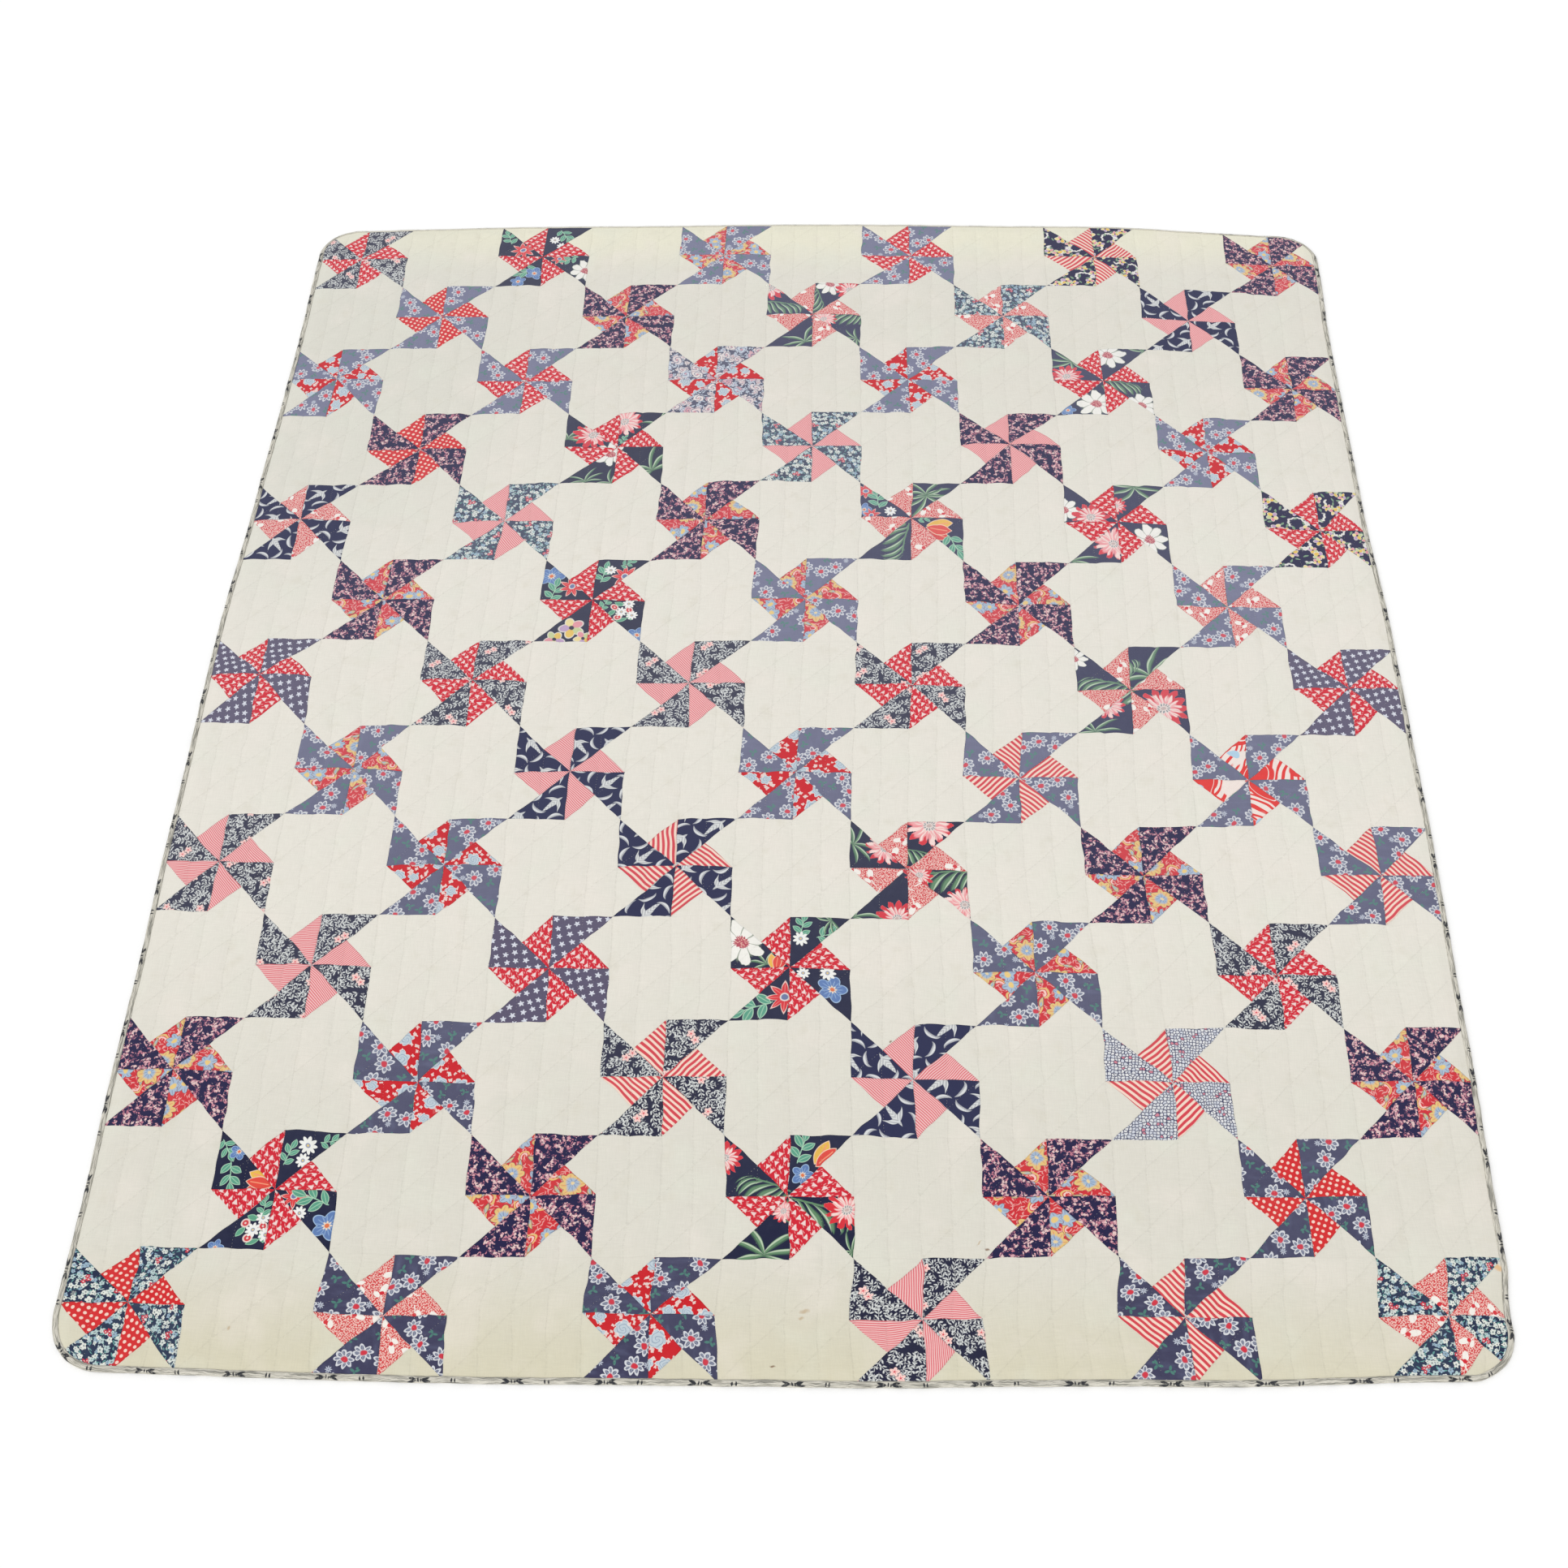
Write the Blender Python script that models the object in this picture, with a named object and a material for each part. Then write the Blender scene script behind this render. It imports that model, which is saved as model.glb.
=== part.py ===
"""A patchwork quilt lying flat: its quilted body, and the binding folded over its edge.

Metres, with +Z up. The quilt lies on z = 0, X runs across its width and Y along its
length, and the origin is under the middle of its bounding box.
"""

import math
from collections import namedtuple

import bpy

# Driving dimensions.
MM = 0.001
SQUARE = 165 * MM  # side of one finished square of patchwork
SQUARES_ACROSS = 11
SQUARES_ALONG = 13
CORNER_RADIUS = 70 * MM
CLEARANCE = 0.3 * MM  # between the body and the binding

# The body is sewn down along lines a quarter of a square apart, and puffs up between them.
CHANNEL = SQUARE / 4
SEWN_HEIGHT = 4.6 * MM
PUFF = 1.8 * MM
MOST_ROW_STEP = 0.85 * SQUARE  # the longest facet along the length

# The binding is one folded strip, C-shaped in section, round the pressed-down rim.
BINDING_WIDTH = 10 * MM
BINDING_HEIGHT = 5.9 * MM
BINDING_CLOTH = 0.9 * MM
BINDING_BACK = 2.6 * MM  # how far the fold's inner face lies from the outline
RIM_TOP = 4.2 * MM

HALF_WIDTH = SQUARES_ACROSS * SQUARE / 2
HALF_LENGTH = SQUARES_ALONG * SQUARE / 2
ARC_X = HALF_WIDTH - CORNER_RADIUS
ARC_Y = HALF_LENGTH - CORNER_RADIUS

# Hand piecing pulls the squares a little out of line. Each entry holds the shifts in mm
# at five places from the left edge to the right one, squares_down from the far edge.
Drift = namedtuple("Drift", "squares_down across along")
DRIFTS = (
    Drift(0, across=(2, 3, 3, 2, -8), along=(-16, -5, 0, -7, -38)),
    Drift(2, across=(4, 3, 1, 2, -14), along=(-5, -1, 5, -1, -18)),
    Drift(4, across=(-1, 5, 6, 5, -13), along=(-4, 4, 14, 6, -3)),
    Drift(6, across=(-8, -6, -1, 4, -8), along=(2, -3, 1, -6, -2)),
    Drift(8, across=(-4, -8, -6, -6, -6), along=(2, -3, 0, -5, 2)),
    Drift(10, across=(1, -3, -1, 5, -8), along=(-5, -4, 5, 1, 10)),
    Drift(12, across=(5, 6, 8, 5, -14), along=(-2, -4, 2, 9, 18)),
    Drift(13, across=(5, 6, 8, 4, -18), along=(4, -1, 3, 13, 27)),
)

# The layers never lie quite level: each wave adds its height in mm, with so many waves
# across the quilt and along it, starting at a phase in radians.
Wave = namedtuple("Wave", "height_mm across along phase")
WAVES = (
    Wave(0.35, across=1.5, along=2.2, phase=0.4),
    Wave(0.25, across=-3.1, along=1.7, phase=2.0),
    Wave(0.20, across=2.3, along=4.6, phase=4.1),
)


def ease(share):
    return share * share * (3 - 2 * share)


def between(low, high, share):
    return low + (high - low) * ease(share)


def shift_across_row(shifts, x):
    """One row's shift at x, eased between its five places."""
    place = (x / HALF_WIDTH + 1) / 2 * (len(shifts) - 1)
    place = min(max(place, 0.0), len(shifts) - 1.0)
    index = min(int(place), len(shifts) - 2)
    return between(shifts[index], shifts[index + 1], place - index)


def drift(x, y):
    """How far the cloth at (x, y) of the plain layout really lies from there, in metres."""
    down = min(max((HALF_LENGTH - y) / SQUARE, 0.0), float(SQUARES_ALONG))
    for upper, lower in zip(DRIFTS, DRIFTS[1:]):
        if down <= lower.squares_down:
            break
    share = (down - upper.squares_down) / (lower.squares_down - upper.squares_down)
    across = between(
        shift_across_row(upper.across, x), shift_across_row(lower.across, x), share
    )
    along = between(
        shift_across_row(upper.along, x), shift_across_row(lower.along, x), share
    )
    return across * MM, along * MM


def rounded(x, y, inset):
    """(x, y) of the plain rectangle, moved inside its outline with round corners, inset."""
    radius = CORNER_RADIUS - inset
    a = max(abs(x) - ARC_X, 0.0) / CORNER_RADIUS
    b = max(abs(y) - ARC_Y, 0.0) / CORNER_RADIUS
    across = min(abs(x), ARC_X) + radius * a * math.sqrt(1 - b * b / 2)
    along = min(abs(y), ARC_Y) + radius * b * math.sqrt(1 - a * a / 2)
    return math.copysign(across, x), math.copysign(along, y)


def laid(x, y, inset):
    """Where (x, y) of the plain layout lies, before the origin is centred."""
    x, y = rounded(x, y, inset)
    across, along = drift(x, y)
    return x + across, y + along


def steps(low, high, most):
    """Even steps from low to high, none longer than most, without the last point."""
    count = math.ceil((high - low) / most - 1e-6)
    return [low + (high - low) * i / count for i in range(count)]


def column_places():
    count = 2 * round(2 * HALF_WIDTH / CHANNEL)
    return [-HALF_WIDTH + CHANNEL / 2 * i for i in range(count + 1)]


def row_places():
    """Close rows round the corners, and long ones between them."""
    corner_step = CORNER_RADIUS / 3
    near = steps(-HALF_LENGTH, -ARC_Y, corner_step)
    middle = steps(-ARC_Y, ARC_Y, MOST_ROW_STEP)
    far = steps(ARC_Y, HALF_LENGTH, corner_step)
    return near + middle + far + [HALF_LENGTH]


COLUMNS = column_places()
ROWS = row_places()


def rim_places():
    """(column, row) indices once round the edge, anticlockwise from above."""
    last_column, last_row = len(COLUMNS) - 1, len(ROWS) - 1
    near = [(i, 0) for i in range(last_column)]
    right = [(last_column, j) for j in range(last_row)]
    far = [(i, last_row) for i in range(last_column, 0, -1)]
    left = [(0, j) for j in range(last_row, 0, -1)]
    return near + right + far + left


def outline_centre():
    edge = [laid(COLUMNS[i], ROWS[j], 0.0) for i, j in rim_places()]
    xs = [x for x, _ in edge]
    ys = [y for _, y in edge]
    return (min(xs) + max(xs)) / 2, (min(ys) + max(ys)) / 2


CENTRE_X, CENTRE_Y = outline_centre()


def point(i, j, inset, height):
    x, y = laid(COLUMNS[i], ROWS[j], inset)
    return x - CENTRE_X, y - CENTRE_Y, height


def top_height(i, j):
    """Sewn down at every other column, puffed up between, on a gently wavy ground."""
    across, along = COLUMNS[i] / (2 * HALF_WIDTH), ROWS[j] / (2 * HALF_LENGTH)
    wave = sum(
        w.height_mm * math.sin(2 * math.pi * (w.across * across + w.along * along) + w.phase)
        for w in WAVES
    )
    return SEWN_HEIGHT + PUFF * (i % 2) + wave * MM


def ring(inset, height):
    return [point(i, j, inset, height) for i, j in rim_places()]


def band(first, second):
    """Faces between two rings of vertex indices, facing up where second lies outside."""
    count = len(first)
    return [
        (first[k], second[k], second[(k + 1) % count], first[(k + 1) % count])
        for k in range(count)
    ]


def new_object(name, points, faces, colour, roughness):
    mesh = bpy.data.meshes.new(name)
    mesh.from_pydata(points, [], faces)
    mesh.update()
    material = bpy.data.materials.new(name)
    material.use_nodes = True
    shader = material.node_tree.nodes["Principled BSDF"]
    shader.inputs["Base Color"].default_value = (*colour, 1.0)
    shader.inputs["Roughness"].default_value = roughness
    shader.inputs["Metallic"].default_value = 0.0
    mesh.materials.append(material)
    mesh.shade_smooth()
    mesh.set_sharp_from_angle(angle=math.radians(40))
    obj = bpy.data.objects.new(name, mesh)
    bpy.context.scene.collection.objects.link(obj)
    return obj


def build_body():
    """Top, filling and backing, quilted together, with a thin rim inside the binding."""
    tuck = BINDING_WIDTH + CLEARANCE
    rim_edge = BINDING_BACK + CLEARANCE
    rim_floor = BINDING_CLOTH + CLEARANCE
    wide = len(COLUMNS)
    points = []
    for j in range(len(ROWS)):
        for i in range(wide):
            on_rim = i in (0, wide - 1) or j in (0, len(ROWS) - 1)
            height = RIM_TOP if on_rim else top_height(i, j)
            points.append(point(i, j, tuck, height))
    faces = [
        (j * wide + i, j * wide + i + 1, (j + 1) * wide + i + 1, (j + 1) * wide + i)
        for j in range(len(ROWS) - 1)
        for i in range(wide - 1)
    ]
    profile = (
        (rim_edge, RIM_TOP),
        (rim_edge, rim_floor),
        (tuck, rim_floor),
        (tuck + CLEARANCE, 0.0),
    )
    upper = [j * wide + i for i, j in rim_places()]
    for inset, height in profile:
        lower = range(len(points), len(points) + len(upper))
        points += ring(inset, height)
        faces += band(upper, lower)
        upper = list(lower)
    faces.append(tuple(reversed(upper)))
    return new_object("quilt_body", points, faces, (0.78, 0.76, 0.66), 0.92)


def build_binding():
    """The folded strip: over the top, round the edge, under the back, and in again."""
    slot_top = RIM_TOP + CLEARANCE
    profile = (
        (BINDING_WIDTH, slot_top + BINDING_CLOTH),
        (BINDING_BACK, BINDING_HEIGHT),
        (0.0, 0.6 * BINDING_HEIGHT),
        (1.5 * MM, 0.0),
        (BINDING_WIDTH, 0.0),
        (BINDING_WIDTH, BINDING_CLOTH),
        (BINDING_BACK, BINDING_CLOTH),
        (BINDING_BACK, slot_top),
        (BINDING_WIDTH, slot_top),
    )
    count = len(rim_places())
    points = []
    for inset, height in profile:
        points += ring(inset, height)
    rings = [range(k * count, (k + 1) * count) for k in range(len(profile))]
    faces = []
    for first, second in zip(rings, rings[1:] + rings[:1]):
        faces += band(first, second)
    return new_object("binding", points, faces, (0.62, 0.61, 0.55), 0.9)


def main():
    for obj in list(bpy.data.objects):
        bpy.data.objects.remove(obj, do_unlink=True)
    build_body()
    build_binding()


main()
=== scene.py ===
"""A patchwork quilt of pinwheel blocks, lying flat: its looks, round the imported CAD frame.

Metres, with +Z up. X runs across the quilt, and Y along it, from its near edge to its far
one. Squares are counted from the far left corner. Prints are drawn in millimetres of cloth.
"""

import math
from functools import cache, cached_property, partialmethod

import bpy
import numpy as np
from mathutils import Matrix, Vector


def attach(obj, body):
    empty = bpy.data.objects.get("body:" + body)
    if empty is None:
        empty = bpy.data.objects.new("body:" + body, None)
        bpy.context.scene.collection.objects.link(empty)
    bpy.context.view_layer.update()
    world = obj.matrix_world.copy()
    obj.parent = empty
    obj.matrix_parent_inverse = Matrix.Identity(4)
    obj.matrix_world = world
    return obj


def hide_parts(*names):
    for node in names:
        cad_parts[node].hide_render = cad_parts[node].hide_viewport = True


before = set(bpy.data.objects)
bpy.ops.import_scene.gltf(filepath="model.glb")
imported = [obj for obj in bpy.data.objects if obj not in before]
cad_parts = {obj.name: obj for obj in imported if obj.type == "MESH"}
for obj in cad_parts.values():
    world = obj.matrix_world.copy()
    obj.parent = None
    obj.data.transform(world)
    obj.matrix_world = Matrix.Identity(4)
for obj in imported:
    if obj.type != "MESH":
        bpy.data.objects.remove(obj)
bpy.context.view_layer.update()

# ---- sizes, as in the CAD part

MM = 0.001
SQUARE = 165 * MM  # side of one finished square of patchwork
SQUARES_ACROSS = 11
SQUARES_ALONG = 13
CORNER_RADIUS = 70 * MM
CHANNEL = SQUARE / 4  # between upright quilting lines
SLANT = SQUARE / 2  # between slanting ones, measured across
SEWN_HEIGHT = 4.6 * MM
PUFF = 1.7 * MM
PILLOW = 6.5 * MM  # how far from a quilting line the puff rises
HALF_WIDTH = SQUARES_ACROSS * SQUARE / 2
HALF_LENGTH = SQUARES_ALONG * SQUARE / 2
ARC_X = HALF_WIDTH - CORNER_RADIUS
ARC_Y = HALF_LENGTH - CORNER_RADIUS
TUCK = 4.5 * MM  # the top's edge lies this far inside the outline, under the binding
TUCK_HEIGHT = 4.1 * MM
CELLS = 40  # mesh cells along the side of a square

# How far the cloth is pulled out of the plain layout: the number of squares down from the
# far edge, then the shifts across and along, in mm, at five places from the left edge to the
# right one. They follow the CAD part's closely, with one more row at 12.5 squares.
DRIFTS = (
    (0, (2, 3, 3, 2, -8), (-16, -5, 0, -7, -38)),
    (2, (4, 3, 1, 2, -14), (-5, -1, 5, -1, -24)),
    (4, (-1, 5, 6, 5, -13), (-2, 4, 12, 7, -10)),
    (6, (-8, -6, 1, 4, -5), (2, 0, 3, -5, -7)),
    (8, (-4, -8, -6, -6, -5), (2, -2, 1, -6, -3)),
    (10, (1, -3, -2, 5, -8), (-2, -5, 2, -2, 6)),
    (12, (5, 6, 8, 5, -14), (0, -7, -2, 8, 18)),
    (12.5, (5, 0, 3, 0, -22), (10, 4, 6, 16, 20)),
    (13, (5, 6, 8, 4, -18), (4, -1, 3, 13, 27)),
)
STOPS, DRIFT_ACROSS, DRIFT_ALONG = (np.array(column, float) for column in zip(*DRIFTS))

# Gentle waves of the layers: height in mm, waves across and along the quilt, and phase.
WAVES = ((0.35, 1.5, 2.2, 0.4), (0.25, -3.1, 1.7, 2.0), (0.20, 2.3, 4.6, 4.1))

# Some pinwheels are sewn with their middles off the middles of their squares: by how many
# mm across and along, for a row from the far edge and a column from the left one.
OFF_CENTRE = {
    (7, 1): (0, 13), (3, 1): (0, 9), (13, 1): (9, -3), (11, 3): (2, -8), (7, 11): (0, 8),
    (4, 4): (7, 2), (4, 8): (0, 8), (13, 11): (6, 4), (1, 7): (3, -7), (13, 7): (6, -3),
    (5, 11): (7, -2), (5, 1): (0, 6), (5, 7): (0, 6), (4, 2): (6, 0), (5, 5): (-6, 0),
    (7, 3): (0, 6), (8, 2): (6, 0), (13, 3): (2, -5), (1, 9): (5, -2), (11, 9): (5, 2),
}


def ease(share):
    return share * share * (3 - 2 * share)


def ripple(x, y, length, seed):
    """Smooth noise, mostly between -1 and 1, with its bumps about length apart."""
    rng = np.random.default_rng(seed)
    total = 0
    for _ in range(9):
        heading = rng.uniform(0, 2 * math.pi)
        waves = 2 * math.pi / (length * rng.uniform(0.7, 1.6))
        phase = rng.uniform(0, 2 * math.pi)
        total = total + np.sin(waves * (x * np.cos(heading) + y * np.sin(heading)) + phase)
    return total / 3


def blended(table, row, row_share, column, column_share):
    """The table's value between its rows and columns, eased from each to the next."""
    share = ease(column_share)
    upper = table[row, column] * (1 - share) + table[row, column + 1] * share
    lower = table[row + 1, column] * (1 - share) + table[row + 1, column + 1] * share
    return upper + (lower - upper) * ease(row_share)


def drifted(table, x, y):
    """How far each point has drifted, in metres."""
    down = np.clip((HALF_LENGTH - y) / SQUARE, 0, SQUARES_ALONG)
    row = np.clip(np.searchsorted(STOPS, down, side="right") - 1, 0, len(STOPS) - 2)
    row_share = (down - STOPS[row]) / (STOPS[row + 1] - STOPS[row])
    place = np.clip((x / HALF_WIDTH + 1) * 2, 0, 4)
    column = np.minimum(place.astype(int), 3)
    return blended(table, row, row_share, column, place - column) * MM


def pieced(x, y, seed):
    """How far hand piecing has moved each point: random at every half square, eased between."""
    rng = np.random.default_rng(seed)
    most_down, most_across = 2 * SQUARES_ALONG, 2 * SQUARES_ACROSS
    nodes = rng.normal(0, 1, (most_down + 1, most_across + 1)).clip(-1.7, 1.7)
    across = np.clip((x + HALF_WIDTH) / (SQUARE / 2), 0, most_across)
    down = np.clip((HALF_LENGTH - y) / (SQUARE / 2), 0, most_down)
    column = np.minimum(across.astype(int), most_across - 1)
    row = np.minimum(down.astype(int), most_down - 1)
    return blended(nodes, row, down - row, column, across - column)


def laid(x, y, inset):
    """Where points of the plain layout lie with the corners round and the cloth drifted."""
    radius = CORNER_RADIUS - inset
    a = np.maximum(np.abs(x) - ARC_X, 0) / CORNER_RADIUS
    b = np.maximum(np.abs(y) - ARC_Y, 0) / CORNER_RADIUS
    across = np.minimum(np.abs(x), ARC_X) + radius * a * np.sqrt(1 - b * b / 2)
    along = np.minimum(np.abs(y), ARC_Y) + radius * b * np.sqrt(1 - a * a / 2)
    x = np.copysign(across, x)
    y = np.copysign(along, y)
    return x + drifted(DRIFT_ACROSS, x, y), y + drifted(DRIFT_ALONG, x, y)


def off_centre(x, y):
    """How far the pinwheels' middles pull the cloth round them across and along, in mm."""
    across, along = 0.0, 0.0
    for (row, column), (right, up) in OFF_CENTRE.items():
        aside = abs(x + HALF_WIDTH - (column - 0.5) * SQUARE) / (SQUARE / 2)
        ahead = abs(HALF_LENGTH - y - (row - 0.5) * SQUARE) / (SQUARE / 2)
        near_x, near_y = ease(np.clip(1 - aside, 0, 1)), ease(np.clip(1 - ahead, 0, 1))
        across = across + right * near_x * ease(np.clip(1.6 - ahead, 0, 1))
        along = along + up * near_y * ease(np.clip(1.6 - aside, 0, 1))
    return across, along


def edge_distance(x, y):
    """How far each point of the plain layout lies inside its edge."""
    return np.minimum(HALF_WIDTH - np.abs(x), HALF_LENGTH - np.abs(y))


def rolled(y):
    """The share of the binding's width that shows: along the far edge most has rolled under."""
    return 1 - 0.55 * ease(np.clip((y - ARC_Y) / CORNER_RADIUS, 0, 1))


def rim():
    """Points once round the edge of the plain layout, anticlockwise from above."""
    across = np.linspace(-HALF_WIDTH, HALF_WIDTH, SQUARES_ACROSS * CELLS + 1)
    along = np.linspace(-HALF_LENGTH, HALF_LENGTH, SQUARES_ALONG * CELLS + 1)
    near = np.stack([across, np.full_like(across, -HALF_LENGTH)], 1)
    right = np.stack([np.full_like(along, HALF_WIDTH), along], 1)
    return np.concatenate([near[:-1], right[:-1], -near[:-1], -right[:-1]])


EDGE = np.stack(laid(*rim().T, 0.0), 1)
CENTRE = (EDGE.min(0) + EDGE.max(0)) / 2


def settled(x, y, inset):
    """Where points of the plain layout really lie, measured from the middle of the quilt."""
    free = (0.3 + 0.7 * ease(np.clip(edge_distance(x, y) / (60 * MM), 0, 1))) * MM
    found = []
    ways = zip(laid(x, y, inset), CENTRE, off_centre(x, y), ((11, 12, 18), (13, 14, 19)))
    for place, centre, pull, (sewn, wide, fine) in ways:
        wander = 1.2 * pieced(x, y, sewn) + 0.7 * ripple(x, y, 0.05, wide)
        wander = wander + 0.3 * ripple(x, y, 0.02, fine)
        found.append(place - centre + wander * free + pull * MM)
    return found


def quilting_distances(x, y):
    """How far each point of the plain layout lies from an upright line, and from a slanting one."""
    upright = np.abs(x / CHANNEL - np.round(x / CHANNEL)) * CHANNEL
    slanting = np.abs((x - y) / SLANT - np.round((x - y) / SLANT)) * SLANT / math.sqrt(2)
    return upright, slanting


def puff_at(x, y):
    """From 0 on a quilting line to 1 well away from them all."""
    upright, slanting = quilting_distances(x, y)
    return (1 - np.exp(-upright / PILLOW)) * (1 - np.exp(-slanting / PILLOW))


def waves_at(x, y):
    across, along = x / (2 * HALF_WIDTH), y / (2 * HALF_LENGTH)
    return MM * sum(
        height_mm * np.sin(2 * math.pi * (waves_across * across + waves_along * along) + phase)
        for height_mm, waves_across, waves_along, phase in WAVES
    )


def top_of(x, y):
    """Where each point of the plain layout lies on the quilt's top, as an array of points."""
    across, along = settled(x, y, TUCK * rolled(y))
    puff = puff_at(x, y) * (0.86 + 0.2 * ripple(x, y, 0.11, 15))
    near_line = np.exp(-np.minimum(*quilting_distances(x, y)) / (9 * MM))
    puckers = 0.16 * ripple(x, y * 2.1, 0.022, 16) * near_line
    creases = 0.12 * ripple(x, y, 0.04, 17)
    height = SEWN_HEIGHT + PUFF * puff + waves_at(x, y) + (puckers + creases) * MM
    under_binding = ease(np.clip((edge_distance(x, y) - 2 * MM) / (16 * MM), 0, 1))
    height = TUCK_HEIGHT + (height - TUCK_HEIGHT) * under_binding
    return np.stack([across, along, height], -1)


def grid(cells):
    """The plain layout's points, [down, across], with so many cells along a square's side."""
    return np.meshgrid(
        np.linspace(-HALF_WIDTH, HALF_WIDTH, SQUARES_ACROSS * cells + 1),
        np.linspace(HALF_LENGTH, -HALF_LENGTH, SQUARES_ALONG * cells + 1),
    )


# The whole top, which the squares are cut from.
GRID_X, GRID_Y = grid(CELLS)
TOP = top_of(GRID_X, GRID_Y)
TOP_NORMALS = np.cross(np.gradient(TOP, axis=1), -np.gradient(TOP, axis=0))
TOP_NORMALS /= np.linalg.norm(TOP_NORMALS, axis=2, keepdims=True)


# ---- meshes


def add_object(name, data):
    obj = bpy.data.objects.new(name, data)
    bpy.context.scene.collection.objects.link(obj)
    return obj


def new_piece(name, points, faces, materials):
    """A smooth mesh that rides on the quilt's one body, with these materials."""
    mesh = bpy.data.meshes.new(name)
    mesh.from_pydata(np.asarray(points).tolist(), [], np.asarray(faces).tolist())
    mesh.update()
    for material in materials:
        mesh.materials.append(material)
    mesh.shade_smooth()
    piece = add_object(name, mesh)
    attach(piece, "root")
    return piece


def add_map(piece, name, corners):
    """Gives each face corner a pair of numbers, which materials read by the map's name."""
    layer = piece.data.uv_layers.new(name=name, do_init=False)
    layer.uv.foreach_set("vector", np.asarray(corners, np.float32).ravel())


# ---- materials


def ink(code):
    """A colour from its usual six-digit code, such as "#eeeae2"."""
    shares = (int(code[start : start + 2], 16) / 255 for start in (1, 3, 5))
    linear = (v / 12.92 if v <= 0.04045 else ((v + 0.055) / 1.055) ** 2.4 for v in shares)
    return (*linear, 1)


def feed(value, slot):
    """Links a Wire to a node's input, or puts a constant there."""
    if isinstance(value, Wire):
        slot.id_data.links.new(value.socket, slot)
    else:
        slot.default_value = ink(value) if isinstance(value, str) else value


def new_node(tree, kind, values, **settings):
    """A shader node with these settings, and these values at its inputs."""
    node = tree.nodes.new("ShaderNode" + kind)
    for name, setting in settings.items():
        setattr(node, name, setting)
    for slot, value in values.items():
        feed(value, node.inputs[slot])
    return node


class Wire:
    """What a node of a material works out at each point of a surface."""

    def __init__(self, socket):
        self.socket = socket

    def node(self, kind, values, **settings):
        return new_node(self.socket.id_data, kind, values, **settings)


class Field(Wire):
    """A number or a colour."""

    def math(self, operation, *others):
        values = dict(enumerate((self, *others)))
        return Field(self.node("Math", values, operation=operation).outputs[0])

    __add__ = partialmethod(math, "ADD")
    __sub__ = partialmethod(math, "SUBTRACT")
    __mul__ = partialmethod(math, "MULTIPLY")
    __truediv__ = partialmethod(math, "DIVIDE")
    __abs__ = partialmethod(math, "ABSOLUTE")
    sine = partialmethod(math, "SINE")
    nearest = partialmethod(math, "ROUND")
    least = partialmethod(math, "MINIMUM")
    most = partialmethod(math, "MAXIMUM")

    def wrapped(self, period):
        """How far it is from the nearest multiple of the period."""
        return self.math("WRAP", period / 2, -period / 2)

    def fade(self, start, end):
        """Smoothly 0 at start and 1 at end, which may be the lower of the two."""
        values = {"Value": self, "From Min": start, "From Max": end}
        node = self.node("MapRange", values, interpolation_type="SMOOTHSTEP")
        return Field(node.outputs["Result"])

    def within(self, blur):
        """1 inside a shape, whose edge is where it measures 1, and 0 outside."""
        return self.fade(1 + blur, 1 - blur)

    def line(self, middle, half_width):
        """1 where it is near the middle value."""
        return abs(self - middle).fade(half_width * 1.3, half_width * 0.7)

    def palette(self, *colours):
        """One of the colours, picked by a chance from 0 to 1."""
        node = self.node("ValToRGB", {"Fac": self})
        node.color_ramp.interpolation = "CONSTANT"
        stops = node.color_ramp.elements
        for index, colour in enumerate(colours):
            if index >= len(stops):
                stops.new(index / len(colours))
            stops[index].position = index / len(colours)
            stops[index].color = ink(colour)
        return Field(node.outputs["Color"])


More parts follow.
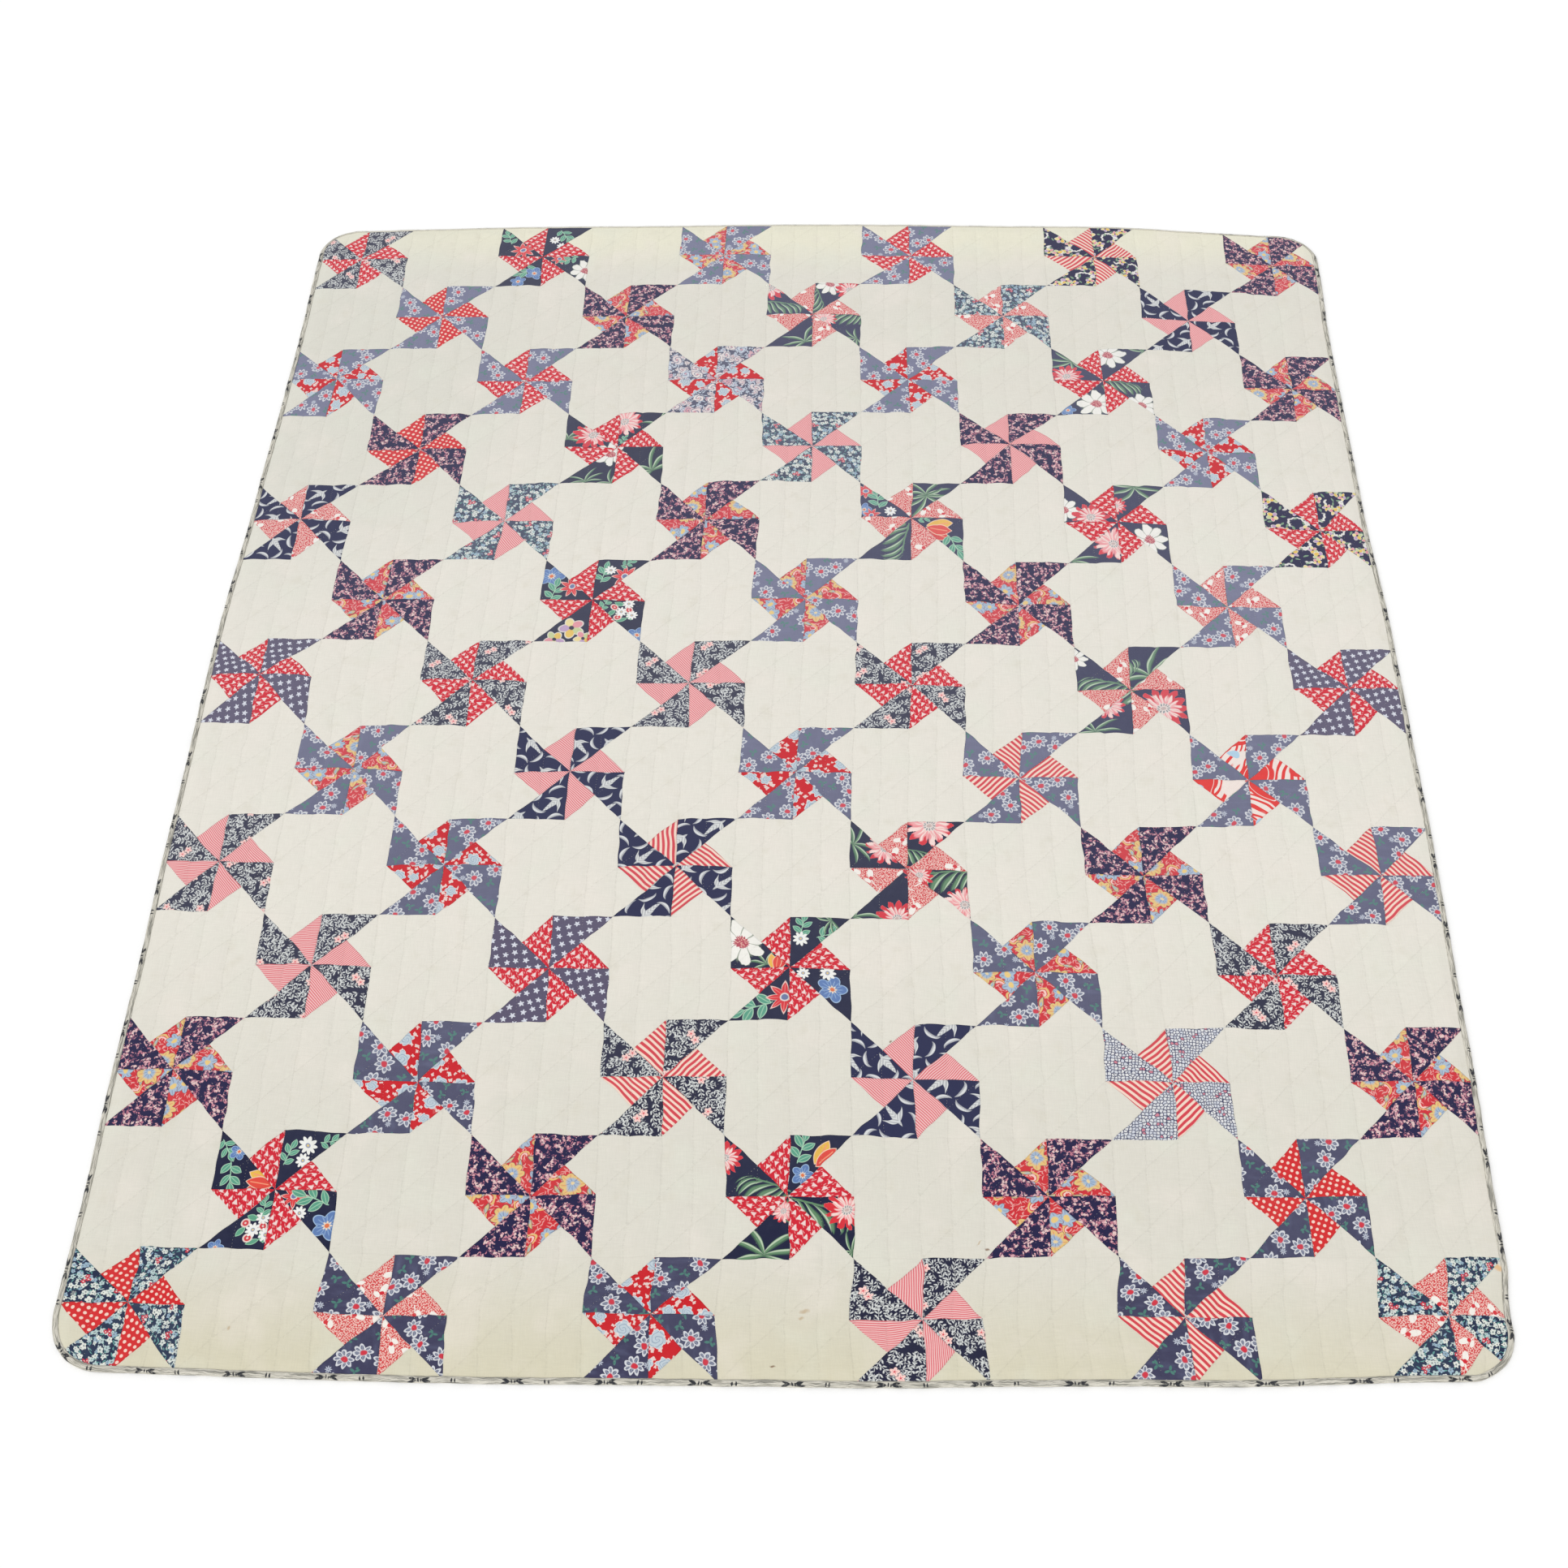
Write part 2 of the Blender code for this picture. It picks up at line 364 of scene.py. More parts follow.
class Place(Wire):
    """A point in millimetres of cloth, from the middle of a print or of one of its motifs."""

    def __init__(self, socket, chances=()):
        super().__init__(socket)
        self.chances = chances

    def vector(self, operation, *others):
        """The outputs of a vector operation, first a vector and then a number."""
        values = dict(enumerate((self, *others)))
        return self.node("VectorMath", values, operation=operation).outputs

    def moved(self, operation, other):
        return Place(self.vector(operation, other)[0], self.chances)

    @cached_property
    def x(self):
        """The point's x, by a dot product, which keeps big materials small."""
        return Field(self.vector("DOT_PRODUCT", (1, 0, 0))[1])

    @cached_property
    def y(self):
        return Field(self.vector("DOT_PRODUCT", (0, 1, 0))[1])

    def at(self, x, y):
        return Place(self.node("CombineXYZ", {0: x, 1: y}).outputs[0], self.chances)

    def about(self, x, y):
        """The same point, measured from (x, y)."""
        return self.moved("SUBTRACT", (x, y, 0))

    def scaled(self, x, y):
        return self.moved("MULTIPLY", (x, y, 0))

    def in_mm(self):
        return self.scaled(1 / MM, 1 / MM)

    def turned(self, angle):
        """The point as seen by a motif that is turned anticlockwise by an angle in radians."""
        values = {"Vector": self, "Angle": angle}
        node = self.node("VectorRotate", values, rotation_type="Z_AXIS", invert=True)
        return Place(node.outputs[0], self.chances)

    def on_quilt(self):
        """The point on the whole quilt, in millimetres from its middle."""
        return Place(self.node("TexCoord", {}).outputs["Object"]).in_mm()

    def length(self):
        return Field(self.vector("LENGTH")[1])

    def angle(self):
        return self.y.math("ARCTAN2", self.x)

    def noise_node(self, size, detail, seed):
        here = self.about(-173 * seed, -97 * seed)
        values = {"Scale": 0.7 / size, "Detail": detail, "Vector": here}
        return self.node("TexNoise", values, noise_dimensions="2D")

    def noise(self, size, detail=1, seed=0):
        """Smooth noise from 0 to 1, with bumps of about this size."""
        return Field(self.noise_node(size, detail, seed).outputs["Fac"])

    def weave(self, seed):
        """The threads of a cotton, both ways."""
        across = self.scaled(0.08, 1).noise(1.1, 2, seed)
        return across + self.scaled(1, 0.08).noise(1.1, 2, seed + 1)

    def wandering(self, amount, size, seed=0):
        """The point pushed about smoothly, which bends whatever is drawn by it."""
        push = Place(self.noise_node(size, 0, seed).outputs["Color"])
        return self.moved("ADD", push.about(0.5, 0.5).scaled(4 * amount, 4 * amount))

    def voronoi(self, pitch, jitter, seed, feature):
        """The point as it is looked up among scattered spots, and the node that does it."""
        here = self.about(-131 * seed, -71 * seed)
        values = {"Scale": 1 / pitch, "Randomness": jitter, "Vector": here}
        return here, self.node("TexVoronoi", values, voronoi_dimensions="2D", feature=feature)

    def cells(self, pitch, jitter=0.6, seed=0):
        """The point from the middle of the nearest of many scattered spots, about pitch apart."""
        here, node = self.voronoi(pitch, jitter, seed, "F1")
        chances = self.node("SeparateColor", {0: Wire(node.outputs["Color"])})
        middle = here.vector("SUBTRACT", Wire(node.outputs["Position"]))[0]
        return Place(middle, [Field(socket) for socket in chances.outputs])

    def cell_wall(self, pitch, jitter=0.6, seed=0):
        """How far the point is from the wall round its cell."""
        _, node = self.voronoi(pitch, jitter, seed, "DISTANCE_TO_EDGE")
        return Field(node.outputs["Distance"]) * pitch

    def repeat(self, width, height, x=0, y=0, drop=0.5):
        """The point from the nearest (x, y) of a print that repeats with a drop between columns."""
        here = self.about(x, y)
        column = (here.x / width).nearest()
        down = here.y + column * (drop * height)
        return self.at(here.x - column * width, down.wrapped(height))

    def any_way(self):
        """Turned by the motif's own chance."""
        return self.turned(self.chances[0] * (2 * math.pi))

    def shown(self, share, chance=1):
        """1 at this share of the motifs, picked by one of their chances, and 0 at the rest."""
        return self.chances[chance].fade(share + 0.02, share)

    def oval(self, half_length, half_width=None):
        return self.scaled(1 / half_length, 1 / (half_width or half_length)).length()

    def leaf(self, half_length, half_width):
        """A pointed leaf along x."""
        bend = self.x / half_length
        return abs(self.y) / half_width + bend * bend

    def sectors(self, count):
        """The angle from the axis of the nearest of count even sectors, in turns of one sector."""
        share = self.angle() * (count / (2 * math.pi))
        return share - share.nearest()

    def petals(self, count, middle, half_length, half_width):
        """Ovals round the middle, each this far out."""
        radius = self.length()
        across = self.sectors(count) * radius * (2 * math.pi / count / half_width)
        along = (radius - middle) / half_length
        return (across * across + along * along).math("SQRT")

    def star(self, points, outer, inner):
        reach = abs(self.sectors(points)) * (2 * (inner - outer)) + outer
        return self.length() / reach


class Canvas:
    """A node tree in which layers are laid over a ground colour one by one."""

    def __init__(self, tree, colour):
        self.tree = tree
        self.colour = colour

    def ink(self, colour, mask):
        """Lays a colour over what is there, where the mask is 1."""
        values = {0: mask, 6: self.colour, 7: colour}
        self.colour = Field(new_node(self.tree, "Mix", values, data_type="RGBA").outputs[2])

    def shade(self, amount):
        """Multiplies the colour by a Field near 1."""
        values = {0: self.colour, "Scale": amount}
        self.colour = Field(new_node(self.tree, "VectorMath", values, operation="SCALE").outputs[0])

    def group(self, group, values):
        """The outputs of a node group that starts from the colour."""
        values = {"Colour": self.colour, **values}
        outputs = new_node(self.tree, "Group", values, node_tree=group).outputs
        self.colour = Field(outputs["Colour"])
        return outputs

    def lay(self, layers):
        """Lays motifs at their places, and colours where their masks are 1, one by one.

        A colour may come with a shape instead of a mask, and then with the blur of its edge,
        and with its strength if that isn't 1.
        """
        for layer, where, *edge in layers:
            if callable(layer):
                self.group(motif_group(layer), {"Place": where})
                continue
            if edge:
                where = where.within(edge[0])
            for strength in edge[1:]:
                where = where * strength
            self.ink(layer, where)

    def map_place(self, name):
        return Place(new_node(self.tree, "UVMap", {}, uv_map=name).outputs["UV"])


def new_group(name, inputs, outputs):
    """An empty node group, with the Fields at its inputs and the slots at its outputs."""
    group = bpy.data.node_groups.new(name, "ShaderNodeTree")
    for in_out, sockets in (("INPUT", inputs), ("OUTPUT", outputs)):
        for socket, kind in sockets.items():
            group.interface.new_socket(socket, in_out=in_out, socket_type="NodeSocket" + kind)
    entry = group.nodes.new("NodeGroupInput")
    leave = group.nodes.new("NodeGroupOutput")
    return group, {socket: Field(entry.outputs[socket]) for socket in inputs}, leave.inputs


@cache
def motif_group(motif):
    """The node group that holds what a motif's function draws."""
    sockets = {"Colour": "Color", "Place": "Vector"}
    group, given, result = new_group(motif.__name__, sockets, {"Colour": "Color"})
    canvas = Canvas(group, given["Colour"])
    canvas.lay(motif(Place(given["Place"].socket)))
    feed(canvas.colour, result["Colour"])
    return group


def wear_group():
    """Years of use and hand quilting on every cloth, whatever its print, with painted shade at seams
    and quilting lines.
    """
    inputs = {"Colour": "Color", "Pale": "Color", "Fading": "Float", "Seam": "Float"}
    group, given, result = new_group("wear", inputs, {"Colour": "Color", "Height": "Float"})
    fading, seam_shade_and_depth = given["Fading"], given["Seam"]
    canvas = Canvas(group, given["Colour"])
    place = canvas.map_place("print").in_mm()
    tone = canvas.map_place("tone")
    lines = canvas.map_place("lines").in_mm()
    weave = place.weave(41)
    rubbed = place.noise(9, 3, seed=43).fade(0.35, 0.8)
    canvas.ink(given["Pale"], (tone.x + rubbed * 0.6) * fading)
    quilt_place = place.on_quilt()
    # Paler and greyer towards the far edge, scaled by Fading.
    canvas.ink("#c6c8d8", quilt_place.y.fade(-1150, 300) * fading * 1.9)
    broken = quilt_place.noise(3, 1, seed=45).fade(0.3, 0.6)
    seam = lines.x.fade(1.5, 0.2)
    quilted = lines.y.fade(1.5, 0.2) * broken
    # Painted shade: darker along the seams and in the quilting grooves, where shadow falls, over the
    # weave's own light and dark threads.
    canvas.shade((weave - 1) * 0.08 + 1 - seam * seam_shade_and_depth - quilted * 0.05)
    beside_line = lines.y.fade(16, 2)
    pucker = quilt_place.scaled(1, 2.4).noise(8, 2, seed=44) * beside_line
    feed(canvas.colour, result["Colour"])
    relief = weave * 0.04 - seam * seam_shade_and_depth * 2.5 - quilted * 0.15 + pucker * 0.4
    feed(relief, result["Height"])
    return group


WEAR = wear_group()


class Cloth(Canvas):
    """A cotton's material."""

    def __init__(self, name, ground):
        self.material = bpy.data.materials.new(name)
        self.material.use_nodes = True
        super().__init__(self.material.node_tree, ground)
        self.shader = self.tree.nodes["Principled BSDF"].inputs
        self.place = self.map_place("print").in_mm()

    def bump(self, height_mm):
        """Relief from a Field of heights in millimetres."""
        node = new_node(self.tree, "Bump", {"Distance": MM, "Height": height_mm})
        feed(Field(node.outputs["Normal"]), self.shader["Normal"])

    def finished(self, roughness=0.92):
        """Feeds the shader, and returns the material."""
        values = {"Base Color": self.colour, "Roughness": roughness, "Specular IOR Level": 0.15}
        values.update({"Sheen Weight": 0.1, "Sheen Roughness": 0.5})
        for name, value in values.items():
            feed(value, self.shader[name])
        return self.material

    def worn(self, pale, fading, seam=0.12):
        """Washes the print out a little towards a pale colour, weaves and quilts it, and paints
        shade along its seams.
        """
        outputs = self.group(WEAR, {"Pale": pale, "Fading": fading, "Seam": seam})
        self.bump(Field(outputs["Height"]))
        return self.finished()


COTTONS = {}


def cotton(ground, pale, fading, seam=0.12):
    """Makes a cotton of a function that yields the layers printed on its ground."""

    def print_it(layers):
        cloth = Cloth(layers.__name__, ground)
        cloth.lay(layers(cloth.place))
        COTTONS[layers.__name__] = cloth.worn(pale, fading, seam)
        return layers

    return print_it


# ---- prints, drawn in mm of cloth

WHITE = "#eeeae2"


def outlined_daisy(place):
    flower = place.wandering(0.8, 6, seed=3)
    loop = flower.petals(8, 7.6, 4.5, 2.9)
    yield "#70768e", loop, 0.1, 0.55
    yield "#969cac", flower.petals(8, 6.8, 4, 0.7), 0.4, 0.8
    yield "#d2d4d8", loop.line(0.86, 0.25)
    yield "#aa5c6c", flower.oval(4.4), 0.15
    yield "#ce3442", flower.oval(3.7), 0.15


def teal_sprig(place):
    leaf = place.petals(3, 3.6, 3.2, 1.7).least(place.about(4.5, 3).oval(1.6))
    yield "#4a7a70", leaf, 0.25


def aster(place):
    yield "#bac0cc", place.petals(8, 2.6, 2, 0.7), 0.4


@cotton("#3c3b56", "#82889e", 0.06)
def daisies(place):
    """Faded navy with outlined daisies, teal leaves and little white asters."""
    streaks = place.scaled(1, 0.35).noise(9, 3, seed=5)
    yield "#565a76", streaks.fade(0.45, 0.8) * 0.6
    # Paler towards the far edge.
    yield "#797b96", place.on_quilt().y.fade(-1150, 400) * 0.75
    for x, y, angle in ((14, -16, 0.4), (-21, 4, 2.1), (8, 28, 4)):
        yield teal_sprig, place.repeat(62, 58, x, y).turned(angle)
    yield aster, place.repeat(62, 58, -17, -14)
    for x, y, angle in ((0, 0, 0), (22, 9, 0.9), (-15, 28, 2)):
        yield outlined_daisy, place.repeat(62, 58, x, y).turned(angle)


@cotton("#201d44", "#6e6280", 0.03)
def blossoms(place):
    """Deep purple navy under clusters of small pink and white blossoms."""
    place = place.wandering(0.8, 5, seed=1)
    cluster = place.noise(7, 2, seed=2)
    rose, mauve = "#c07a8a", "#7a4a66"
    pink, cream = "#d8a6ac", "#e2c4c0"
    kinds = (
        (2.9, 1.15, 0.47, 0.6, (mauve, rose, mauve)), (3.4, 1.3, 0.49, 0.6, (rose, pink, mauve)),
        (4.2, 1.7, 0.51, 0.6, (pink, cream, rose)), (5.6, 2, 0.53, 0.7, (cream, pink, cream)),
    )
    for seed, (pitch, radius, dense, share, colours) in enumerate(kinds):
        spot = place.cells(pitch, 0.95, seed + 3)
        blossom = spot.any_way().petals(4, radius * 0.5, radius * 0.62, radius * 0.5)
        there = cluster.fade(dense - 0.02, dense + 0.02) * spot.shown(share)
        yield spot.chances[2].palette(*colours), blossom, 0.3, there


def crescent(place):
    """A curved feather, barbed on its inner side."""
    here = place.wandering(0.4, 8, seed=4)
    inner = here.about(0, -23.2).oval(22.3)
    shape = here.about(0, -8.5).oval(13).within(0.04) * inner.fade(0.98, 1.02)
    barbs = (here.x * 2 + here.y * 2.4).sine()
    yield "#dee0e0", shape * (inner.fade(1.05, 1.14) * 0.4 + 0.52 + barbs * 0.1)


def bird(place):
    """A swallow that flies along x."""
    here = place.wandering(0.7, 9, seed=2).scaled(0.8, 0.8)
    body = here.about(-4.5, 0).leaf(15, 3.2)
    wings = here.at(here.y, here.x + here.y * here.y * 0.05 - 2).leaf(13, 3.2)
    shape = body.least(wings)
    barbs = (here.x * 1.5 + abs(here.y) * 1.8).sine()
    yield "#dee0de", shape, 0.14, barbs * 0.2 + 0.78


@cotton("#282b4c", "#787c96", 0.02)
def birds(place):
    """Navy with white feathers and swooping birds."""
    for x, y, angle in ((0, 24, 0.4), (26, 12, 2.5), (26, -12, 4.3)):
        yield crescent, place.repeat(52, 48, x, y).turned(angle)
    yield bird, place.repeat(52, 48).turned(0.7)


def leaf_sprays(place, pitch, share, seed):
    """Scattered short stems with pairs of pointed leaves."""
    spray = place.cells(pitch, 1, seed).any_way().wandering(0.5, 7, seed)
    side = abs(spray.y)
    step = (spray.x - side * 0.7).wrapped(4.4)
    leaves = spray.at(side - 2.3, step).leaf(1.95, 1.1)
    reach = spray.oval(pitch * 0.62, pitch * 0.44)
    stem = side.most(reach * 0.4 - 0.05).fade(0.42, 0.24)
    return leaves.most(reach * 0.98).within(0.2).most(stem * 0.8) * spray.shown(share)


def pink_flower(place):
    petals = place.petals(5, 3.5, 3.2, 2.6).least(place.oval(3.2))
    yield "#1b1d36", petals, 0.1
    yield "#f4d0c8", petals * 1.2, 0.12
    yield "#e27880", place.petals(5, 2.1, 1, 0.4), 0.3
    yield "#d4424c", place.oval(1.1), 0.2


@cotton("#21223a", "#64687c", 0.05)
def sprigs(place):
    """Near-black navy under dense white sprigs, with pink blossoms in twos."""
    for pitch, share, seed in ((8.6, 1, 1), (8, 0.3, 2)):
        yield "#d4d7d4", leaf_sprays(place.scaled(0.8, 0.8), pitch, share, seed)
    for x, y, angle in ((0, 0, 0.2), (8, 7, 1)):
        yield pink_flower, place.repeat(58, 52, x, y).turned(angle)


@cotton("#544c64", "#7c7e9c", 0.05)
def stars(place):
    """Faded navy with slanting rows of white stars."""
    star = place.turned(0.25).cells(13.6, 0.2, seed=2)
    tilt = (star.chances[0] - 0.5) * 1.4
    yield "#d6d9e2", star.turned(tilt).star(5, 4.5, 1.8), 0.14


def little_red_flower(place):
    yield "#c83042", place.petals(5, 1.8, 1.7, 1.4), 0.15
    yield WHITE, place.oval(0.9), 0.2


@cotton("#1e2a46", "#8c9cb0", 0.07)
def calico(place):
    """A crowd of small white, blue and teal flowers and leaves, with a few red ones."""
    place = place.wandering(0.8, 6, seed=7)
    teal, sky = "#609892", "#8aa6ba"
    for seed, share, colour in ((1, 0.8, teal), (2, 0.25, sky), (3, 0.5, "#b0c2be")):
        spot = place.cells(7, 1, seed)
        yield colour, spot.any_way().leaf(2.9, 0.8), 0.2, spot.shown(share)
    for pitch, radius, share, seed in ((10.5, 4, 0.8, 11), (9, 2.6, 0.6, 12)):
        spot = place.cells(pitch, 0.75, seed)
        flower = spot.any_way()
        petals = flower.petals(5, radius * 0.58, radius * 0.46, radius * 0.38)
        colour = spot.chances[1].palette("#dadfd6", "#b6ccca", "#e4e6dc", "#d6dcd4", "#96b0c2")
        there = spot.shown(share, 2)
        yield colour, petals, 0.2, there
        yield "#788484", flower.oval(radius * 0.26), 0.3, there
    for x, y in ((0, 0), (5, 2), (1.5, -5)):
        yield little_red_flower, place.repeat(40, 38, x, y).scaled(1.15, 1.15)


@cotton("#2e304e", "#a0a0ac", 0.08)
def grey_roses(place):
    """Slate, crowded with pale roses and leaves."""
    place = place.wandering(1.6, 9, seed=7)
    spot = place.cells(6.6, 1, 1)
    yield "#bac6d2", spot.any_way().leaf(3.4, 1.2), 0.25
    for pitch, radius, seed in ((14, 5, 5), (23, 9.6, 4)):
        spot = place.cells(pitch, 0.7, seed)
        bloom = spot.any_way()
        petals = bloom.petals(6, radius * 0.52, radius * 0.52, radius * 0.42)
        colour = spot.chances[1].palette("#e2d0cc", "#c6d0da", "#e8ded6", "#d8a4aa", "#e0d4d0")
        yield colour, petals, 0.12
        folds = (bloom.length() * (11 / radius) + bloom.angle() * 2).sine()
        yield "#5c5c7c", petals.within(0.1) * folds.fade(0.3, 0.8) * 0.85
        yield "#ce7884", bloom.oval(radius * 0.18), 0.3, 0.8


def pansy(place):
    """Five petals of several colours, edged in white."""
    petals = place.petals(5, 5.3, 4.8, 4)
    yield "#e4e0d4", petals, 0.1
    turn = place.angle() * (0.5 / math.pi) + 0.5
    colours = turn.palette("#e4c05c", "#c4ce96", "#e0969e", "#e8d696", "#bc9ec0")
    yield colours, petals * 1.25, 0.14
    yield "#2c263a", place.oval(1.9), 0.2


@cotton("#222044", "#78768c", 0.025)
def pansies(place):
    """Dark navy with white arcs, green leaves and pansies."""
    place = place.wandering(0.9, 8, seed=3)
    for x, y, radius in ((0, 0, 15), (30, 27, 12)):
        ring = place.repeat(60, 62, x, y)
        scallops = (ring.angle() * 12).sine() * 0.06 + ring.oval(radius)
        yield "#e2e0da", scallops.line(1, 0.16) * ring.y.fade(-8, -4)
    leaf = place.cells(15, 0.9, seed=5)
    yield "#86aa86", leaf.any_way().leaf(4.4, 1.8), 0.2, 0.8
    for x, y, size in (
        (0, 15, 1), (-14, 9, 0.8), (13, 10, 0.8), (28, -8, 0.9), (-20, -15, 0.8), (-5, -23, 1),
    ):
        yield pansy, place.repeat(60, 62, x, y).turned(x * 0.3).scaled(1 / size, 1 / size)


@cotton("#3a3e5c", "#b0b6c4", 0.07)
def pebbles(place):
    """A dark blue net round small pebbles, white and now and then pink."""
    place = place.wandering(0.3, 3, seed=1)
    spot = place.cells(4.3, 0.6, seed=3)
    whites = ("#d8dadc", "#ced2da", "#e0e0e0") * 6
    colour = spot.chances[1].palette("#ce7c8a", *whites)
    walls = place.cell_wall(4.3, 0.6, seed=3).fade(0.32, 0.72)
    yield colour, walls * spot.length().fade(2.8, 2.3)


def striped(place, pitch, pale, red_share):
    """Stripes along the print's x, a little wavy where the cloth has pulled."""
    band = abs(place.wandering(0.45, 22, seed=1).y.wrapped(pitch)) * (2 / pitch)
    yield pale, band.fade(red_share - 0.14, red_share + 0.14)


@cotton("#d03e4a", "#e8beb4", 0.03)
def stripes(place):
    return striped(place, 7, "#eed4c4", 0.53)


@cotton("#d86870", "#e8beb4", 0.03)
def pinstripes(place):
    return striped(place, 2.8, "#ecc0be", 0.48)


@cotton("#cc2032", "#eca09b", 0.02)
def wedges(place):
    """Bright red with rows of rounded white wedges between fine ticks."""
    place = place.wandering(0.6, 8, seed=1)
    wedge = place.repeat(11.5, 9.2, drop=0.42).turned(0.5)
    width = wedge.x * -0.42 + 1.85
    shape = (abs(wedge.y) / width.most(0.1)).most(abs(wedge.x) / 3.3)
    yield "#ead2ce", shape, 0.16
    tick = place.cells(5, 0.85, seed=6)
    yield "#ecccc6", tick.turned(1.1).oval(1.7, 0.42), 0.3, 0.7


@cotton("#ce262a", "#eca096", 0.03)
def dots(place):
    """Coral red with slanting rows of cream dots."""
    dot = place.turned(0.35).cells(8.3, 0.1, seed=1)
    yield "#eecec0", dot.oval(2.2), 0.16


def scalloped_flower(place):
    """A yellow flower whose light-blue middle runs out into it."""
    petals = place.petals(8, 8.2, 5.2, 4).least(place.oval(9.4))
    yield "#805c58", petals * 0.9, 0.06
    yield "#e2c07a", petals, 0.06
    yield "#d6845c", place.petals(8, 9, 3, 0.6), 0.3, 0.6
    rays = (place.angle() * 24).sine() * 0.16 + place.oval(7)
    yield "#9eb6ce", rays, 0.12
    yield "#707a96", place.petals(8, 4.4, 2.6, 0.4), 0.3, 0.7
    yield "#e2cea0", place.oval(1.9), 0.2


def small_blue_flower(place):
    petals = place.petals(6, 5.2, 3.6, 3).least(place.oval(5.6))
    yield "#7c6268", petals * 0.86, 0.06
    yield "#a4bace", petals, 0.06
    yield "#78849e", place.petals(6, 6, 2.4, 0.5), 0.3, 0.7
    yield "#e4c67c", place.oval(3), 0.12


def curl(place):
    """Half rings, and the leaf they end in."""
    for radius, colour in ((7.6, "#e0bc76"), (4.4, "#f0c8be")):
        ring = place.oval(radius).line(1, 1.1 / radius)
        yield colour, ring * place.y.fade(-2, 0.5)
    leaf = place.about(-9, -5).turned(1.1)
    yield "#7c5c5c", leaf.leaf(7.8, 3.2), 0.1
    yield "#ceba86", leaf.leaf(6.6, 2.3), 0.1
    yield "#9eb4c4", leaf.about(1.5, 0).leaf(3.6, 1.2), 0.2


@cotton("#ca2630", "#d6968c", 0.05)
def folk(place):
    """Red with yellow and light-blue flowers, curls and pale strokes."""
    place = place.wandering(1.3, 9, seed=4)
    for pitch, seed in ((7, 1), (8, 2)):
        stroke = place.cells(pitch, 1, seed).any_way()
        bent = stroke.at(stroke.x, stroke.y + stroke.x * stroke.x * 0.09)
        yield "#ecb2ac", bent.leaf(3.6, 0.75), 0.3, 0.75
    for x, y, angle in ((25, -2, 0.3), (-16, 25, 2.6), (4, -25, 4.4)):
        yield curl, place.repeat(62, 58, x, y).turned(angle)
    for x, y, size in ((-27, -20, 1.35), (22, 18, 1.2)):
        yield small_blue_flower, place.repeat(62, 58, x, y).scaled(1 / size, 1 / size)
    yield scalloped_flower, place.repeat(62, 58, 0, 0).scaled(0.82, 0.82)


def bud(place):
    """A white bud on a red cup, and its stem."""
    stem = abs(place.y + place.x * place.x * 0.03).fade(1.1, 0.6)
    yield WHITE, stem * (abs(place.x + 7) / 6.5).within(0.1)
    yield WHITE, place.about(6.4, 0).oval(6.8, 4.3), 0.08
    yield WHITE, place.about(-4, 5.2).turned(0.9).oval(5.4, 3.2), 0.1
    yield "#ce2834", place.about(-0.6, 0).oval(3, 2.9), 0.12


@cotton("#cc3c40", "#f0bcb0", 0.05)
def vermicelli(place):
    """Coral under fine white flecks, with white buds."""
    fleck = place.wandering(0.5, 4, seed=5).cells(2.5, 0.8, seed=3)
    yield "#ecc4ba", fleck.any_way().oval(1.35, 0.74), 0.35
    for x, y, angle in ((0, 0, 0.5), (26, 12, 2.5), (-16, 27, 4.6)):
        yield bud, place.repeat(66, 58, x, y).turned(angle)


def rose(place):
    """A pale rose with curling petals."""
    petals = place.petals(6, 5, 3.9, 3.4).least(place.oval(6.2))
    yield "#e6e2de", petals * 0.86, 0.08
    yield "#bccad2", petals, 0.1
    folds = (place.length() * 2 + place.angle() * 2).sine()
    yield "#7a8ea8", petals.within(0.1) * folds.fade(0.45, 0.95) * 0.65


@cotton("#c61c26", "#ecaaa0", 0.02)
def roses(place):
    """Bright red with pale roses and small white sprays."""
    place = place.wandering(0.9, 6, seed=2)
    for pitch, radius, seed in ((9, 3.1, 1), (7.6, 2.3, 2)):
        spray = place.cells(pitch, 0.9, seed)
        there = spray.chances[1].fade(0.64, 0.66)
        shape = spray.any_way().petals(4, radius * 0.5, radius * 0.6, radius * 0.5)
        yield "#e2cac4", shape, 0.2, there
    for x, y, size in ((0, 0, 1.25), (24, 14, 0.9), (-16, 22, 1.1)):
        yield rose, place.repeat(54, 50, x, y).scaled(1 / size, 1 / size)


@cotton("#eaded6", "#f4b0a0", 0.03)
def curves(place):
    """White with broad red shapes, zebra strokes and pale-blue spots."""
    red = "#dc322c"
    place = place.wandering(4, 26, seed=8)
    broad = place.noise(36, 0, seed=3)
    strokes = (place.x * 0.62 + place.y * 0.3).sine()
    yield red, strokes.fade(0.2, 0.3) * broad.fade(0.34, 0.38)
    yield red, broad.fade(0.53, 0.545)
    yield "#eaded6", broad.line(0.62, 0.008)
    yield "#accce0", place.repeat(60, 56, 6, 20).oval(10, 6.5), 0.06


# Motifs of the large florals, along x.


